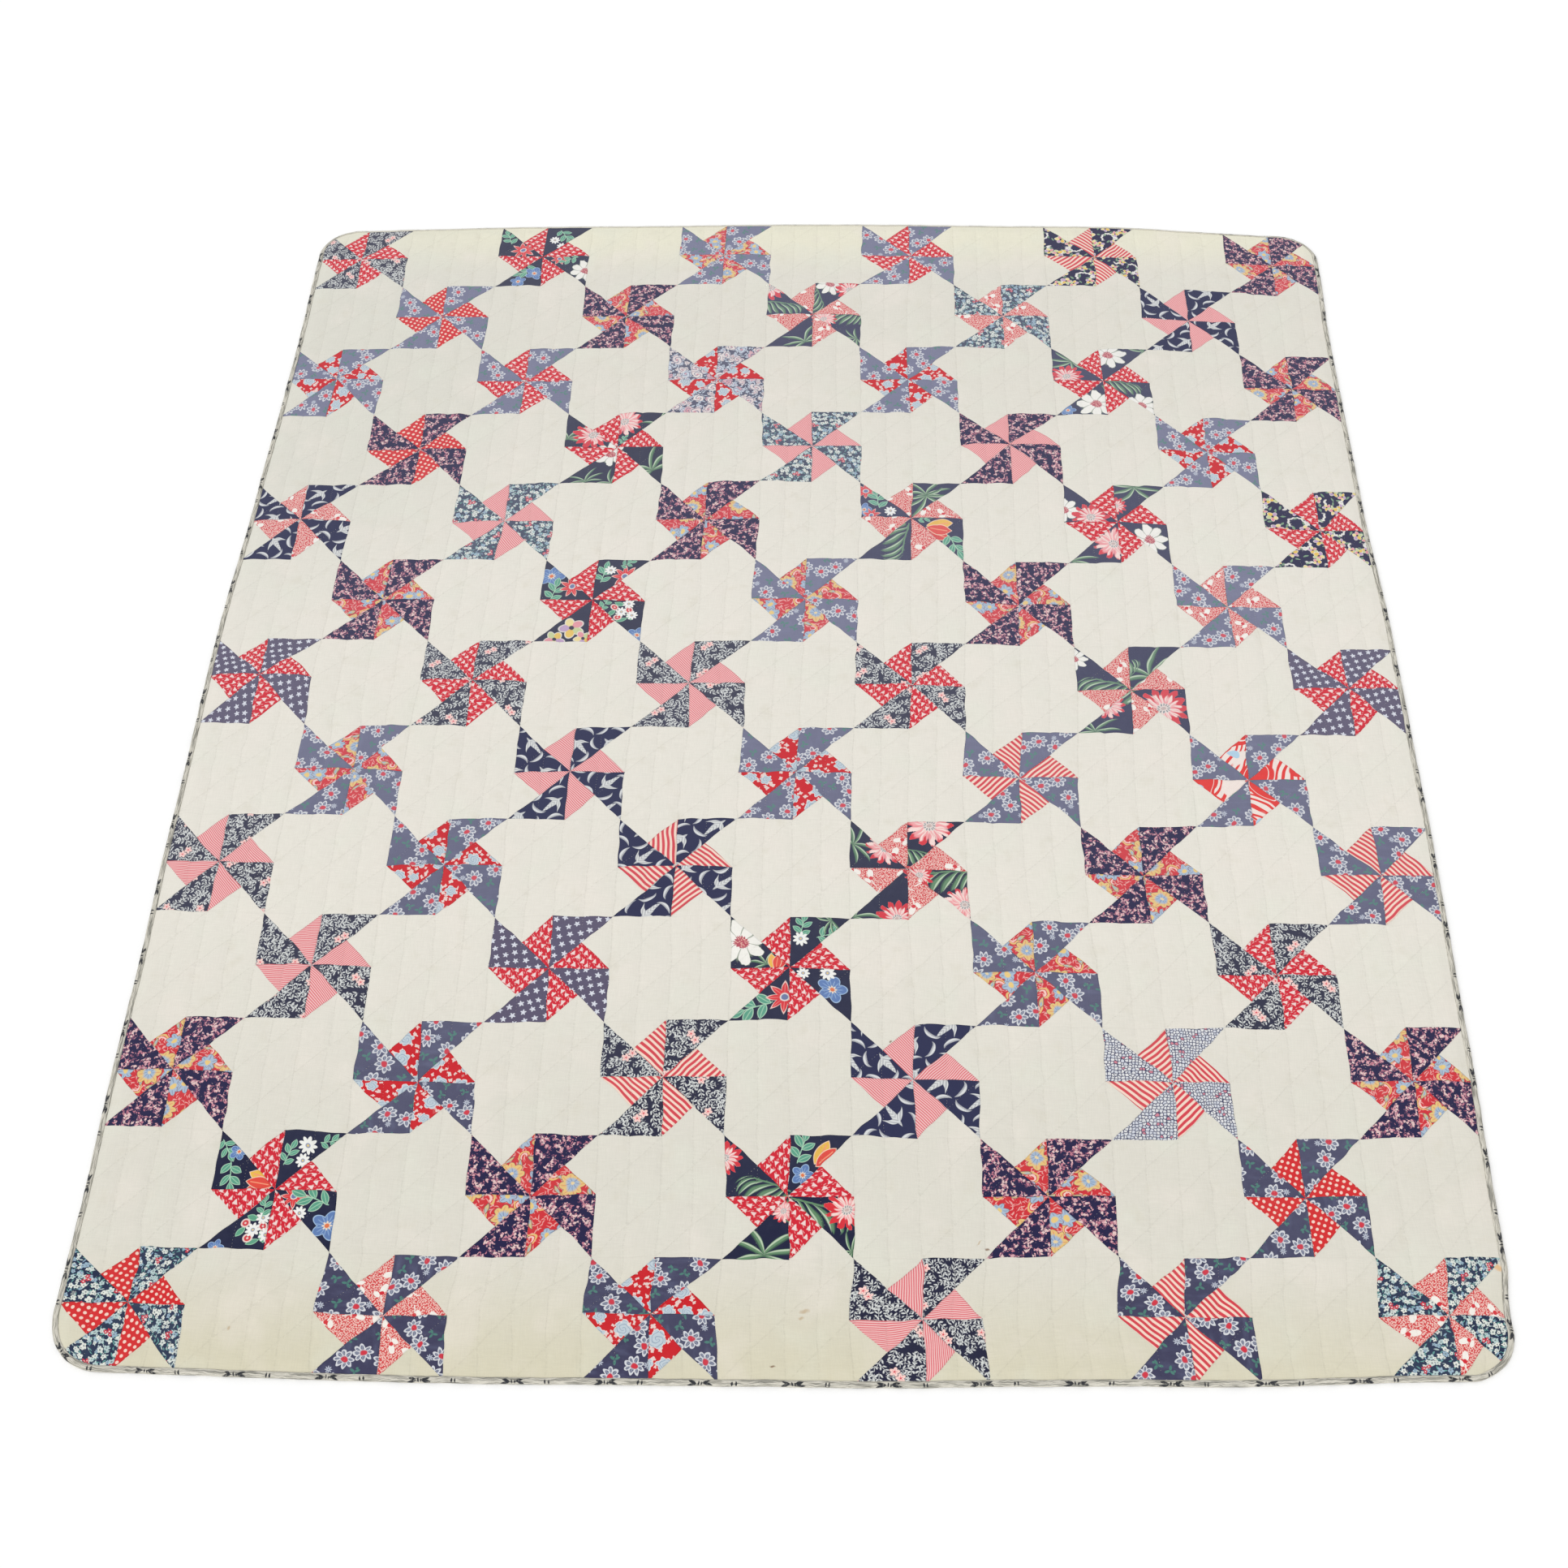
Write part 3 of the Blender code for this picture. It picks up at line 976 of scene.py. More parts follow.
def carnation(place, reach):
    """A flower of narrow streaked petals, pale within and red beyond its reach."""
    flower = place.wandering(1, 7, seed=3)
    out = flower.oval(25)
    ragged = (flower.noise(1.8, 1, seed=5) - 0.5) * 0.4
    petals = flower.petals(13, 15.5, 10.8, 4).least(flower.oval(13.5))
    shape = (petals + ragged).within(0.05)
    ray = flower.at(flower.angle() * 9, flower.length() * 0.1).noise(1.5, 1, seed=2)
    yield "#ec9ea0", shape
    yield "#f2d8d0", shape * (ray + out * 0.14).fade(0.64, 0.48)
    yield "#d42c36", shape * (ray * 0.9 + out).fade(reach + 0.42, reach + 0.56)
    gaps = abs(flower.sectors(13)).fade(0.4, 0.49) * out.fade(0.25, 0.5)
    yield "#ce464e", shape * gaps * 0.5
    yield "#e2dcd4", flower.oval(6.4), 0.15, 0.8
    yield "#869092", flower.petals(12, 4.6, 1.7, 0.6), 0.3
    yield "#c4b0aa", flower.oval(2), 0.2


def pink_carnation(place):
    return carnation(place, 0.8)


def red_carnation(place):
    return carnation(place, 0.54)


def blade(place, half_length, half_width):
    """A long leaf along x with a pale edge. A negative width turns it over."""
    side = math.copysign(1, half_width)
    yield "#3a5846", place.leaf(half_length, abs(half_width)), 0.1
    upper = place.about(0, 0.5 * side)
    yield "#628864", upper.leaf(half_length * 0.95, abs(half_width) * 0.7), 0.3
    edge = place.about(0, half_width * 0.5)
    yield "#baccb0", edge.leaf(half_length * 0.85, 1), 0.5


def fan(place):
    """Long blades that rise from one foot along x, part and curl over."""
    for spread, reach in ((-0.15, 50), (0.35, 46), (-0.7, 46), (0.95, 40), (-1.3, 38), (1.6, 30)):
        side = math.copysign(1, spread)
        bent = place.turned(place.length() * (0.011 * side) + spread)
        yield from blade(bent.about(reach / 2, 0), reach / 2, -3.4 * side)


def plume(place):
    """A rib along x, and long blades that sweep along it and droop."""
    loose = place.wandering(2, 22, seed=6)
    droop = loose.y * -1
    sweep = droop.most(0).math("SQRT") * 4.4
    beside = (loose.x - sweep).wrapped(10)
    near = place.about(27, -14).oval(34, 21)
    sweeping = place.at(droop - 13, beside + near.fade(0.9, 1.1) * 9)
    yield from blade(sweeping, 15.5, -4.2)
    rib = abs(place.y).fade(1.3, 0.7) * (abs(place.x - 20) / 24).within(0.05)
    yield "#628864", rib


def big_daisy(place):
    """A broad white daisy with a dusty-rose middle."""
    flower = place.wandering(1, 8, seed=4)
    ragged = (flower.noise(2.2, 1, seed=6) - 0.5) * 0.24
    petals = flower.petals(8, 16, 9.5, 6.2).least(flower.oval(13)) + ragged
    yield "#707e6a", petals * 0.93, 0.05
    yield "#eeece4", petals, 0.05
    between = (abs(flower.sectors(8)) * 2).fade(0.84, 0.97)
    yield "#808c78", between * flower.oval(20).within(0.1) * 0.8
    yield "#b44c5a", flower.star(18, 8.4, 6.4), 0.06
    spots = flower.cells(2.6, 0.8, seed=1).oval(0.8).within(0.2)
    yield "#e0aa9c", spots * flower.oval(6.6).within(0.1)


def pointed_flower(place):
    """Pointed red petals round a grey-blue middle."""
    shape = place.star(8, 19, 8.5)
    yield "#eec8be", shape, 0.05
    yield "#d63236", shape * 1.13, 0.05
    vein = abs(place.sectors(8)).fade(0.06, 0.02)
    yield "#f0928a", vein * (shape * 1.3).within(0.05) * 0.8
    yield "#dedad4", place.oval(4.8), 0.1
    yield "#6c78a0", place.oval(3.4), 0.1


def blue_flower(place):
    """Five rounded blue petals round an orange middle."""
    petals = place.petals(5, 7.4, 6, 5.2)
    yield "#a6c2de", petals, 0.06
    yield "#5e7cb0", petals * 1.16, 0.08
    yield "#90aed2", place.petals(15, 6, 3.4, 0.5), 0.3, 0.7
    yield "#e6d8c4", place.petals(8, 2.6, 1.6, 0.8), 0.2
    yield "#dc7446", place.oval(2), 0.2


def teal_leaves(place):
    """A stem with rounded teal leaves."""
    yield "#96c4a6", abs(place.y).fade(0.8, 0.4) * (abs(place.x) / 15).within(0.05)
    leaves = (9, 5.5, 0.7), (6, -6, -0.8), (-4, 6, 1), (-8, -5.5, -0.9), (18, 0, 0)
    for x, y, angle in leaves:
        leaf = place.about(x, y).turned(angle)
        yield "#b2d6b8", leaf.leaf(8.2, 4.2), 0.08
        yield "#589c82", leaf.leaf(7.4, 3.4), 0.12
        vein = abs(leaf.y).fade(0.7, 0.3) * leaf.leaf(6.4, 3.4).within(0.1)
        yield "#a6ceb0", vein * 0.7


def little_daisy(place):
    yield "#eeeee8", place.petals(9, 5.4, 4.1, 1.95), 0.1
    yield "#969cb4", place.oval(2.6), 0.15
    yield "#e2c882", place.oval(1.3), 0.2


def posy(place):
    """Little white daisies, red bells and leaves."""
    for x, y in ((-11, -2), (10, -7), (2, -12), (-2, 12)):
        leaf = place.about(x, y).turned(x * 0.2)
        yield "#96c8a6", leaf.leaf(6.4, 3), 0.12
        yield "#5c9e80", leaf.leaf(5.4, 2.2), 0.14
    for x, y in ((-8, 7), (9, 3), (-3, -8)):
        bell = place.about(x, y)
        yield "#e8d0c8", bell.oval(4.6), 0.08
        yield "#ce383e", bell.oval(3.1), 0.12
        yield "#e8d0c8", bell.oval(1.1), 0.2
    for x, y in ((0, 0), (8, 12), (13, -5)):
        yield little_daisy, place.about(x, y).scaled(1.35, 1.35)


def tulip(place):
    """A red tulip that opens along x, with a yellow petal."""
    for y, angle, colour in (
        (6.5, 0.30, "#e6b64a"), (-5.5, -0.42, "#d63a34"), (0, 0, "#dc483a")
    ):
        petal = place.about(6, y).turned(angle)
        yield "#f0ceb4", petal.leaf(13.5, 6.6), 0.06
        yield colour, petal.leaf(12.6, 5.8), 0.06
        vein = abs(petal.y).fade(0.8, 0.3) * petal.leaf(9, 5).within(0.1)
        yield "#f09674", vein


MOTIFS = dict(
    pink=pink_carnation, red=red_carnation, fan=fan, plume=plume, daisy=big_daisy,
    star=pointed_flower, blue=blue_flower, teal=teal_leaves, posy=posy, little=little_daisy,
    tulip=tulip, pansy=pansy,
)

# The large florals are cut so that their flowers show. For each block: the motif, where its
# middle lies across and up the block (from -1 to 1), its turn in degrees and its size, which
# is negative for one that is turned over.
FLORALS = {
    (1, 3): """teal -.8 .6 110 1.1, star -.46 .21 10 1.25, teal .4 .72 -60 1.1,
        little .2 .55 0 1, little .37 .36 0 1, star .38 -.08 20 .9, teal .62 -.1 200 .9,
        daisy .96 -.5 15 1.15, teal -.3 -.5 200 1.3, blue -.15 -.57 0 1.4,
        blue -.5 -.85 20 1.1""",
    (2, 6): """red -.96 .86 0 1.3, plume -1 .42 -8 1.1, daisy .33 .95 20 1.1, red .78 .8 0 1,
        plume .04 .8 -72 1, plume .98 .03 180 -1, pink .24 -.16 0 .85, fan -.15 -.9 110 1,
        fan .95 -.75 200 .7""",
    (3, 9): """fan -.6 .62 -120 .9, red -.72 .12 0 1.1, daisy .17 .8 10 1.25,
        fan .95 .95 200 .8, plume .08 0 -6 1, daisy .75 -.72 5 1.15, daisy -.2 -.69 0 1.3,
        blue -.76 -.87 0 1""",
    (4, 4): """fan -.95 .2 80 1.1, red -.48 .35 0 1.2, pink .1 .74 0 1.3, fan .95 .6 120 .9,
        fan .82 -.68 125 1.25, daisy -.12 -.2 0 1.05, fan -.5 -.98 110 .7, fan 0 -1 140 .7,
        teal .1 .2 60 .6""",
    (5, 7): """star -.9 .76 0 1.05, teal -.66 .46 100 1.3, blue -.95 .2 0 1.1,
        little -.42 .15 0 1.1, star -.8 .03 15 .9, fan .27 .64 90 1, fan .27 .66 -75 1.15,
        tulip .42 -.27 -8 1.6, teal .82 -.62 -60 1.3, plume -.06 -.2 -100 1.2,
        teal .25 -.03 20 .7""",
    (5, 9): """daisy -1 .31 0 .95, red -.49 .13 0 1.15, fan .41 1 -90 1.1, red 0 .42 0 .75,
        daisy .62 -.4 10 1.2, pink -.11 -.53 0 1.25, fan -.95 -.98 50 .9""",
    (6, 4): """blue -.84 .58 0 1.6, teal -.76 .17 80 1.2, star -.42 .33 20 1.15,
        teal .14 .62 80 1.1, little .26 .74 0 1, star .56 .6 5 1.2, teal .55 .9 20 .7,
        posy .58 -.28 0 1.35, teal .25 -.1 60 .8, blue .94 -.85 0 1.2, pansy -.3 -.68 40 2,
        pansy -.6 -.95 200 1.7, pansy -.08 -.92 120 1.5""",
    (7, 9): """daisy -1 .7 0 .8, plume 0 .06 163 -1.3, fan .38 .27 112 1.35,
        plume -.1 .2 48 -.7, red .58 -.42 0 1.45, fan -.7 -1 75 .9, pink -.42 -.35 0 1""",
    (9, 7): """fan -.98 .5 20 .9, pink -.37 .42 0 1.1, pink .39 .92 0 1.4,
        plume -.05 .42 -12 .9, plume 1 0 186 -1.2, pink .92 -.7 0 1.1, red .2 -.12 0 .8,
        fan -.95 -.98 35 .9, red -.2 -.98 0 1.1""",
    (10, 6): """fan -.4 .05 90 .7, daisy -.83 .48 12 1.4, tulip -.22 .02 80 1, teal .2 .78 80 1,
        teal .62 .66 20 1.1, little .17 .56 0 1.2, fan .7 .95 200 .6, blue .7 -.39 0 1.6,
        little .64 -.08 0 1.2, little .22 -.1 0 1, teal -.54 -.75 200 1.6,
        star -.07 -.57 0 1.4""",
    (12, 2): """teal -.88 .7 -60 .9, blue -.68 .62 0 .9, teal -.74 .25 -80 1.15,
        tulip -.16 .08 172 -1.35, little .41 .74 0 1.4, little .37 .48 0 1, teal .12 .56 70 .9,
        teal .75 .85 10 .8, star .33 -.1 0 1, teal .66 -.15 160 1.3, blue .91 -.57 0 1.6,
        little .45 -.38 0 1, posy -.23 -.68 0 1.35, teal -.12 -.32 90 .8, blue -.75 -1 0 .9""",
    (12, 6): """red -1 .62 0 .9, plume 0 .1 160 -1.1, teal .18 .76 75 1.25, tulip .5 .56 42 1.4,
        blue .21 .34 0 1.15, plume .1 -.04 -14 1.25, red .88 -.22 0 1.05, fan 1 -.9 150 .6,
        fan -.38 -.98 75 1.2, pink -.09 -.24 0 .6""",
}
DARKEST_FLORALS = ((1, 3), (4, 4), (6, 4), (9, 7), (10, 6), (12, 2), (12, 6))


def floral(row, column):
    """The large floral as one block shows it."""
    darkest = (row, column) in DARKEST_FLORALS
    cloth = Cloth(f"floral_{row}_{column}", "#161a38" if darkest else "#1f2146")
    for entry in FLORALS[row, column].split(","):
        motif, *numbers = entry.split()
        across, up, turn, size = map(float, numbers)
        place = cloth.place.about(across * SQUARE / 2 / MM, up * SQUARE / 2 / MM)
        place = place.turned(math.radians(turn)).scaled(1 / abs(size), 1 / size)
        cloth.lay([(MOTIFS[motif], place)])
    return cloth.worn("#787c96", 0.045 if darkest else 0.06)


RUST, BROWN, TAN = "#e2b074", "#76543a", "#c0ac8e"
# Small stains: where on the quilt in mm, half length and half width in mm, turn, and colour.
MARKS = (
    (885, -901, 9, 3.6, -0.45, RUST), (878, -893, 5, 3, 0.3, RUST),
    (261, -892, 3.2, 1.8, -0.3, BROWN), (251, -884, 4, 1, 0.9, TAN),
    (141, -603, 2, 1.8, 0, BROWN), (35, -976, 5.4, 2.6, 0.4, TAN),
    (31, -985, 3.4, 2, 0.2, TAN), (-2, -1045, 3.4, 1.4, 0, BROWN),
    (-673, -1011, 3, 2, 1, TAN),
)


@cotton("#e1ddd2", "#e8e6dc", 0.03, seam=0.02)
def muslin(place):
    """Unbleached cotton: mottled, darker and yellower at its near edge, lighter and yellower at its
    far one, spotted with age.
    """
    place = place.on_quilt()
    dull = "#d4d1c5"
    yield dull, place.y.fade(150, 850) * 0.55
    yield dull, place.y.fade(-350, -800) * 0.65
    yield "#d0caae", place.y.fade(-880, -1080) * 0.8
    yield "#e7e4ca", place.y.fade(920, 1040) * 0.7
    yield "#d4d3c7", place.about(-860, 640).oval(330, 420), 0.5, 0.6
    tint = place.noise(60, 2, seed=1)
    yield "#dcdfd0", tint.fade(0.5, 0.8) * 0.3
    yield "#e7dfd5", tint.fade(0.5, 0.2) * 0.35
    blotches = place.noise(22, 3, seed=2)
    yield "#d2cdbc", blotches.fade(0.56, 0.85) * 0.35
    for x, y, half_length, half_width, turn, colour in MARKS:
        mark = place.about(x, y).turned(turn).wandering(0.8, 4, seed=3)
        yield colour, mark.oval(half_length, half_width), 0.5, 0.8


# Each pinwheel's blades and the patches between them, row by row from the far edge.
PINWHEELS = """
sprigs wedges, floral wedges, daisies folk, daisies wedges, pansies stripes, blossoms folk
daisies dots, blossoms folk, floral vermicelli, calico vermicelli, birds pinstripes
daisies roses, daisies wedges, grey_roses roses, daisies roses, floral wedges, blossoms folk
blossoms dots, floral wedges, calico pinstripes, blossoms pinstripes, daisies roses
birds vermicelli, calico pinstripes, blossoms folk, floral vermicelli, floral wedges, pansies wedges
blossoms folk, floral wedges, daisies folk, blossoms folk, daisies vermicelli
stars wedges, sprigs wedges, sprigs pinstripes, sprigs wedges, floral vermicelli, stars wedges
daisies folk, birds pinstripes, daisies roses, daisies stripes, daisies curves
sprigs pinstripes, daisies roses, birds stripes, floral vermicelli, blossoms folk, daisies stripes
sprigs pinstripes, stars wedges, floral wedges, daisies folk, sprigs wedges
blossoms folk, daisies roses, sprigs stripes, birds pinstripes, pebbles stripes, blossoms folk
floral wedges, blossoms folk, floral wedges, blossoms folk, daisies dots
calico dots, daisies vermicelli, daisies roses, sprigs pinstripes, daisies stripes, calico vermicelli
""".strip().split("\n")

# Which way stripes run in a pinwheel's top, right, bottom and left patches, in degrees.
USUAL_TURNS = (-45, 45, -45, 45)
STRIPE_TURNS = {
    (7, 5): (-45, 45, -45, -45), (8, 4): (-45, -45, -45, -45), (9, 1): (-45, -45, -45, 0),
    (9, 5): (90, -45, 45, -45), (9, 11): (-45, -50, 45, -45), (10, 2): (0, 45, -45, 0),
    (11, 5): (-45, 50, -45, -45), (11, 7): (-45, 45, -45, -45), (11, 9): (45, -45, 45, -45),
    (13, 7): (90, 0, 90, 0), (13, 9): (-45, -45, -45, -45),
}


# ---- the squares of the top


def four_ways(kind, corners):
    """A pinwheel's top patch and the same one turned on to its right, bottom and left sides."""
    for side in range(4):
        yield kind, side, corners
        corners = [(y, -x) for x, y in corners]


PATCHES = [
    *four_ways("blade", [(-1, 1), (-1, 0), (0, 0)]),
    *four_ways("between", [(0, 1), (0, 0), (-0.5, 0.5)]),
    *four_ways("ground", [(-1, 1), (0, 1), (-0.5, 0.5)]),
]


def square_triangles():
    """A square's mesh cells as triangles, split so that every seam and quilting line is an edge."""
    down, across = np.divmod(np.arange(CELLS * CELLS), CELLS)
    far_left = down * (CELLS + 1) + across
    far_right = far_left + 1
    near_left = far_left + CELLS + 1
    near_right = near_left + 1
    half = CELLS // 2
    far_seam = (down == across - half) & (across >= half + half // 2)
    near_seam = (down == across + half) & (across < half // 2)
    falling_seam = (down == across) | far_seam | near_seam
    tip = np.where(falling_seam, far_left, far_right)
    foot = np.where(falling_seam, near_right, near_left)
    corners = [near_left, near_right, tip, foot, far_right, far_left]
    return np.stack(corners, 1).reshape(-1, 3)


TRIANGLES = square_triangles()
UNIT = np.meshgrid(np.linspace(-1, 1, CELLS + 1), np.linspace(1, -1, CELLS + 1))
UNIT = np.stack([places.ravel() for places in UNIT], 1)


def sides(corners):
    return list(zip(corners, corners[1:] + corners[:1]))


def patch_of_triangles():
    """Which of a pinwheel's patches each triangle lies in."""
    x, y = UNIT[TRIANGLES].mean(1).T
    found = np.zeros(len(TRIANGLES), int)
    for index, (_, _, corners) in enumerate(PATCHES):
        left = [(c - a) * (y - b) - (d - b) * (x - a) for (a, b), (c, d) in sides(corners)]
        left = np.stack(left)
        found[(left > 0).all(0) | (left < 0).all(0)] = index
    return found


def distance_to_seams(seams):
    """How far each of a square's points lies from the nearest of these lines, in metres."""
    nearest = np.full(len(UNIT), np.inf)
    for start, end in np.array(seams, float):
        way = end - start
        share = np.clip((UNIT - start) @ way / (way @ way), 0, 1)
        gap = np.linalg.norm(UNIT - start - share[:, None] * way, axis=1)
        nearest = np.minimum(nearest, gap)
    return nearest * SQUARE / 2


BORDER = sides([(-1, -1), (1, -1), (1, 1), (-1, 1)])
SEAMS = BORDER + [ends for _, _, corners in PATCHES for ends in sides(corners)]
# The patches, which of them each triangle lies in, and how far each point is from a seam.
PINWHEEL = PATCHES, patch_of_triangles(), distance_to_seams(SEAMS)
PLAIN = [("ground", 0, [])], np.zeros(len(TRIANGLES), int), distance_to_seams(BORDER)


def print_turn(rng, print_name, kind, stripe_turn):
    """How far the print is turned on a patch, in radians."""
    if print_name == "floral":
        return 0.0
    if print_name in ("stripes", "pinstripes"):
        return math.radians(stripe_turn + rng.uniform(-3, 3))
    quarter = rng.integers(4) * 90 + (45 if kind == "between" else 0)
    return math.radians(quarter + rng.uniform(-4, 4))


def square(row, column):
    """One square of the top, a pinwheel or plain, as its own piece."""
    rows = slice((row - 1) * CELLS, row * CELLS + 1)
    columns = slice((column - 1) * CELLS, column * CELLS + 1)
    rng = np.random.default_rng(1000 * row + column)
    patches, patch_index, seams = PINWHEEL if row % 2 == column % 2 else PLAIN
    prints = {"ground": "muslin"}
    if patches is PATCHES:
        pair = PINWHEELS[row - 1].split(",")[(column - 1) // 2].split()
        prints["blade"], prints["between"] = pair
    cloths = [COTTONS[name] if name in COTTONS else floral(row, column) for name in prints.values()]
    points = TOP[rows, columns].reshape(-1, 3)
    piece = new_piece(f"square_{row}_{column}", points, TRIANGLES, cloths)
    slots = np.array([list(prints).index(kind) for kind, _, _ in patches])
    piece.data.polygons.foreach_set("material_index", slots[patch_index])

    corners = TRIANGLES.ravel()
    corner_patch = np.repeat(patch_index, 3)
    local = UNIT[corners] * SQUARE / 2
    printed = np.empty_like(local)
    tone = np.empty_like(local)
    stripe_turns = STRIPE_TURNS.get((row, column), USUAL_TURNS)
    for index, (kind, side, _) in enumerate(patches):
        mine = corner_patch == index
        turn = print_turn(rng, prints[kind], kind, stripe_turns[side])
        shift = rng.uniform(0.2, 1.0, 2) if prints[kind] != "floral" else np.zeros(2)
        turned = np.array([[math.cos(turn), -math.sin(turn)], [math.sin(turn), math.cos(turn)]])
        printed[mine] = local[mine] @ turned + shift
        tone[mine] = rng.uniform(0, 1, 2)
    lines = np.minimum(*quilting_distances(GRID_X[rows, columns], GRID_Y[rows, columns])).ravel()
    add_map(piece, "print", printed)
    add_map(piece, "tone", tone)
    add_map(piece, "lines", np.stack([seams[corners], lines[corners]], 1))
    normals = TOP_NORMALS[rows, columns].reshape(-1, 3)
    piece.data.normals_split_custom_set_from_vertices(normals.tolist())
    return piece


def build_squares():
    return [
        square(row, column)
        for row in range(1, SQUARES_ALONG + 1)
        for column in range(1, SQUARES_ACROSS + 1)
    ]


# ---- backing, binding and stitches


def backing_cloth():
    """Plain cream cotton, sewn down along the same lines as the top."""
    cloth = Cloth("backing", "#e0dcce")
    upright = abs(cloth.place.x.wrapped(CHANNEL / MM))
    slanting = abs((cloth.place.x - cloth.place.y).wrapped(SLANT / MM)) * math.sqrt(0.5)
    line = upright.least(slanting)
    place = cloth.place.on_quilt()
    cloth.ink("#d6d1be", place.noise(60, 3, seed=6).fade(0.5, 0.8) * 0.5)
    weave = place.weave(7)
    stitch_shade_and_dent = line.fade(1.4, 0.2) * place.noise(3, 1, seed=10).fade(0.3, 0.6)
    # Painted shade in broken dashes along the sewn lines, over the weave's own light and dark
    # threads.
    cloth.shade((weave - 1) * 0.16 + 1 - stitch_shade_and_dent * 0.12)
    pucker = place.scaled(1, 2.2).noise(9, 2, seed=9)
    cloth.bump(weave * 0.1 + pucker * 0.5 - line.fade(15, 0) * 1.4 - stitch_shade_and_dent * 0.15)
    return cloth.finished()


BACKING_CELLS = 12  # mesh cells along the side of a square
UNDER_TOP = 1.1 * MM  # how far under the top the filling lies
LIFTED = 0.9 * MM  # how high the quilting lines pull the back up
BACK_EDGE = 1.3 * MM  # the height of the back's edge, inside the binding


def build_backing():
    """The filling and its plain back as one closed layer, quilted from below as from above."""
    x, y = grid(BACKING_CELLS)
    inside = edge_distance(x, y)
    upper = top_of(x, y)
    upper[..., 2] -= UNDER_TOP
    lower = upper.copy()
    lower[..., 2] = LIFTED * (ease(np.clip(inside / (20 * MM), 0, 1)) * (1 - puff_at(x, y)))
    lower[inside < 0.001 * MM, 2] = BACK_EDGE
    index = np.arange(x.size).reshape(x.shape)
    cells = np.stack([index[1:, :-1], index[1:, 1:], index[:-1, 1:], index[:-1, :-1]], -1)
    cells = cells.reshape(-1, 4)
    ring = np.concatenate([index[-1, :-1], index[:0:-1, -1], index[0, :0:-1], index[:-1, 0]])
    after = np.roll(ring, -1)
    walls = np.stack([ring + x.size, after + x.size, after, ring], 1)
    faces = np.concatenate([cells, cells[:, ::-1] + x.size, walls])
    points = np.concatenate([upper.reshape(-1, 3), lower.reshape(-1, 3)])
    piece = new_piece("backing", points, faces, [backing_cloth()])
    plain = np.stack([x.ravel(), y.ravel()], 1)
    add_map(piece, "print", np.concatenate([plain, plain])[faces.ravel()])
    piece.data.set_sharp_from_angle(angle=math.radians(50))
    return piece


# The binding's section: how far inside the outline and how high each point lies, in mm.
BINDING_SECTION = (
    (8.0, 4.5), (7.4, 5.1), (6.2, 5.5), (4.6, 5.8), (3.0, 5.75), (1.6, 5.2),
    (0.5, 4.2), (0.0, 3.0), (0.3, 1.5), (1.2, 0.4), (2.6, 0.0), (10.0, 0.0),
    (10.0, 0.8), (3.2, 0.9), (2.6, 1.3), (2.6, 3.9), (3.1, 4.2), (7.8, 4.2),
)


def binding_cloth():
    """Grey cream with fine dark streaks along its length and sprays of dark leaves."""
    cloth = Cloth("binding", "#cecabe")
    place = cloth.place.wandering(0.5, 5, seed=2)
    for fine, grey, seed in ((0.7, "#78766c", 3), (1.3, "#62625c", 7)):
        streaks = place.scaled(0.05, 1).noise(fine, 1, seed)
        cloth.ink(grey, streaks.fade(0.5, 0.64) * 0.62)
    spray = place.repeat(113, 60, 0, 5.4, drop=0)
    leaves = spray.leaf(1.2, 2.6).least(spray.about(3.6, 0.5).leaf(1, 2.2))
    for along, across, turn in (
        (-8.5, 2, -0.16), (-7, -1, 0.32), (10.5, 1.6, 0.2), (9, -1.4, -0.26)
    ):
        leaves = leaves.least(spray.about(along, across).turned(turn).leaf(5.6, 1.75))
    sprout = place.repeat(113, 60, 43, 5.4, drop=0)
    for along in (-2.6, 1.8):
        leaves = leaves.least(sprout.about(along, 0.5).leaf(1.3, 3))
    patchy = place.noise(2.2, 1, seed=8).fade(0.3, 0.5) * 0.3 + 0.7
    cloth.ink("#323439", leaves.within(0.3) * patchy)
    cloth.ink("#d4d1c6", place.on_quilt().y.fade(1030, 1060) * 0.65)
    weave = cloth.place.noise(1.2, 2, seed=5)
    puckers = cloth.place.scaled(1, 0.3).noise(5, 1, seed=6)
    cloth.shade((weave - 0.5) * 0.2 + 1)
    cloth.bump(weave * 0.12 + puckers * 0.7)
    return cloth.finished()


def build_binding():
    """One strip of cloth folded over the quilt's edge, from the top round to the back."""
    x, y = rim().T
    stations = len(x)
    rng = np.random.default_rng(5)
    rings = []
    for inset, height in BINDING_SECTION:
        tug = np.convolve(rng.normal(0, 1, stations + 8), np.ones(9) / 3, "valid")
        lift = np.where(height > 4.6, 0.12 * tug, 0.0)
        across, along = settled(x, y, inset * MM * rolled(y))
        rings.append(np.stack([across, along, (height + lift) * MM], 1))

    count = len(rings)
    ring, station = np.divmod(np.arange(count * stations), stations)
    this, other = ring * stations, (ring + 1) % count * stations
    after = (station + 1) % stations
    faces = np.stack([this + station, other + station, other + after, this + after], 1)
    lengths = np.linalg.norm(EDGE - np.roll(EDGE, -1, axis=0), axis=1)
    start = np.concatenate([[0], np.cumsum(lengths)])
    widths = np.linalg.norm(np.diff(BINDING_SECTION, axis=0), axis=1)
    out = np.concatenate([[0], np.cumsum([*widths, 0.5])]) * MM
    near, far, low, high = start[station], start[station + 1], out[ring], out[ring + 1]
    piece = new_piece("binding_strip", np.concatenate(rings), faces, [binding_cloth()])
    add_map(piece, "print", np.stack([near, low, near, high, far, high, far, low], 1))
    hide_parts("binding")
    return piece


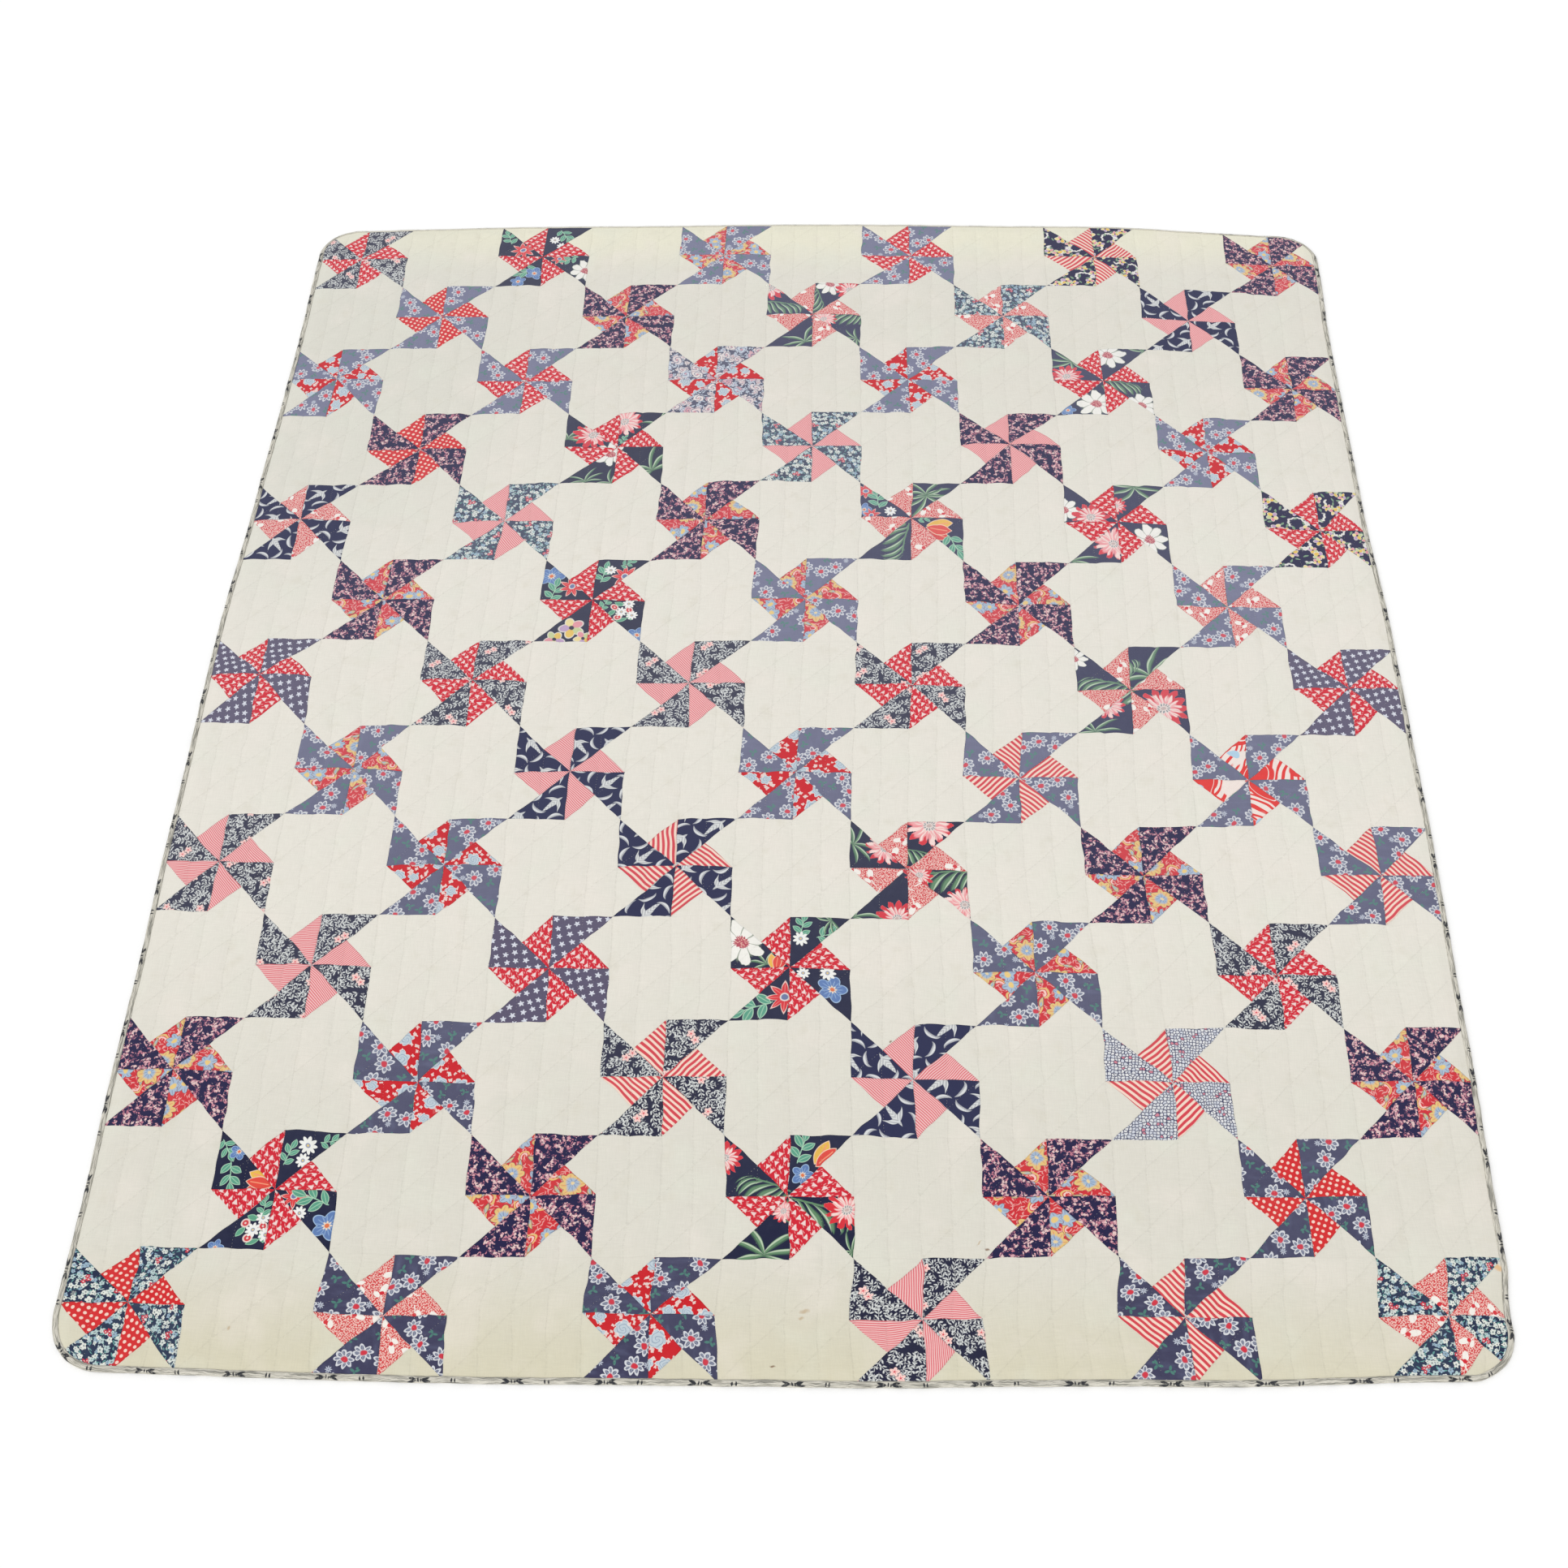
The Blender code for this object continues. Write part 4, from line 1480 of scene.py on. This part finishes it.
def thread_material():
    """Cream thread, darkened here and there."""
    cloth = Cloth("thread", "#e2ddcd")
    worn = cloth.place.on_quilt().noise(3.0, 1.0, seed=3).fade(0.4, 0.7)
    cloth.ink("#c4beac", worn * 0.6)
    return cloth.finished(roughness=0.7)


STITCH = 4.6 * MM  # from one stitch to the next
STITCH_LENGTH = 2.0 * MM
STITCH_WIDTH = 0.4 * MM
UNSTITCHED = 13 * MM  # how wide the edge without stitches is
# The triangles of a stitch between its back and front ends, its left and right sides, its
# top and its bottom.
GRAIN = ((0, 3, 4), (3, 1, 4), (1, 2, 4), (2, 0, 4), (3, 0, 5), (1, 3, 5), (2, 1, 5), (0, 2, 5))


def stitches(name, lines, seed):
    """Hand stitches along straight lines of the plain layout, each a small sewn-down grain."""
    rng = np.random.default_rng(seed)
    middles = []
    ways = []
    for start, end in np.array(lines):
        length = np.linalg.norm(end - start)
        way = (end - start) / length
        places = np.arange(STITCH / 2, length, STITCH)
        places = places + rng.uniform(-0.6, 0.6, len(places)) * MM
        middles.append(start + places[:, None] * way)
        ways.append(np.tile(way, (len(places), 1)))
    middles = np.concatenate(middles)
    inside = edge_distance(*middles.T) > UNSTITCHED
    middles = middles[inside]
    ways = np.concatenate(ways)[inside]
    ways = ways * rng.uniform(0.85, 1.1, (len(ways), 1)) * STITCH_LENGTH / 2
    back, front, centre = (top_of(*p.T) for p in (middles - ways, middles + ways, middles))
    side = np.cross((0, 0, 1), front - back)
    side *= STITCH_WIDTH / 2 / np.linalg.norm(side, axis=1, keepdims=True)
    up = np.array([0, 0, MM])
    low_back, low_front = back - up * 0.12, front - up * 0.12
    left, right = centre + side + up * 0.02, centre - side + up * 0.02
    top, bottom = centre + up * 0.22, centre - up * 0.2
    corners = np.stack([low_back, low_front, left, right, top, bottom], 1)
    faces = np.array(GRAIN) + 6 * np.arange(len(corners))[:, None, None]
    points = corners.reshape(-1, 3)
    return new_piece(name, points, faces.reshape(-1, 3), [thread_material()])


def build_stitches():
    """The stitches along the upright lines, and those along the slanting ones."""
    columns = np.arange(-HALF_WIDTH + CHANNEL, HALF_WIDTH - CHANNEL / 2, CHANNEL)
    upright = [((x, -HALF_LENGTH), (x, HALF_LENGTH)) for x in columns]
    slanting = []
    reach = HALF_WIDTH + HALF_LENGTH
    for offset in np.arange(-reach + SLANT, reach - SLANT / 2, SLANT):
        # The line on which x - y is the offset, between the edges of the quilt.
        first = max(-HALF_WIDTH, offset - HALF_LENGTH)
        last = min(HALF_WIDTH, offset + HALF_LENGTH)
        slanting.append(((first, first - offset), (last, last - offset)))
    return [stitches("stitches_upright", upright, 21), stitches("stitches_slanting", slanting, 22)]


# ---- floor, lights and camera


def build_floor():
    """A wide white floor just under the quilt."""
    half = 40.0
    mesh = bpy.data.meshes.new("floor")
    corners = [(-half, -half, 0), (half, -half, 0), (half, half, 0), (-half, half, 0)]
    mesh.from_pydata(corners, [], [(0, 1, 2, 3)])
    material = bpy.data.materials.new("floor")
    material.use_nodes = True
    shader = material.node_tree.nodes["Principled BSDF"].inputs
    feed("#fafafa", shader["Base Color"])
    feed(0.9, shader["Roughness"])
    feed(0.0, shader["Specular IOR Level"])
    mesh.materials.append(material)
    floor = add_object("floor", mesh)
    floor.location.z = -0.3 * MM


def build_lights():
    """An even white surround, and one broad soft lamp from behind on the left."""
    world = bpy.data.worlds.new("surround")
    bpy.context.scene.world = world
    world.use_nodes = True
    background = world.node_tree.nodes["Background"].inputs
    feed((1.0, 1.0, 1.0, 1.0), background["Color"])
    feed(0.74, background["Strength"])
    lamp = bpy.data.lights.new("lamp", "SUN")
    lamp.energy = 1.35
    lamp.angle = math.radians(55)
    add_object("lamp", lamp).rotation_euler = (math.radians(32), math.radians(-26), 0)


# The camera stands over the near edge and looks down the quilt. Its place is measured from
# the middle of the plain layout.
CAMERA_PLACE = (0.0919, -1.8268, 2.3299)
CAMERA_TILT = 35.302
CAMERA_YAW = 3.906
CAMERA_ROLL = -2.679
CAMERA_VIEW = 43.833


def build_camera():
    data = bpy.data.cameras.new("camera")
    data.angle = math.radians(CAMERA_VIEW)
    camera = add_object("camera", data)
    turn = Matrix.Rotation(math.radians(CAMERA_YAW), 4, "Z")
    tilt = Matrix.Rotation(math.radians(CAMERA_TILT), 4, "X")
    roll = Matrix.Rotation(math.radians(CAMERA_ROLL), 4, "Z")
    place = Vector(CAMERA_PLACE) - Vector((*CENTRE, 0.0))
    camera.matrix_world = Matrix.Translation(place) @ turn @ tilt @ roll
    bpy.context.scene.camera = camera


def main():
    build_camera()
    build_lights()
    build_floor()
    squares = build_squares()
    backing = build_backing()
    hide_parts("quilt_body")
    binding = build_binding()
    threads = build_stitches()
    bpy.context.scene.view_settings.view_transform = "Standard"


main()

bpy.context.view_layer.update()
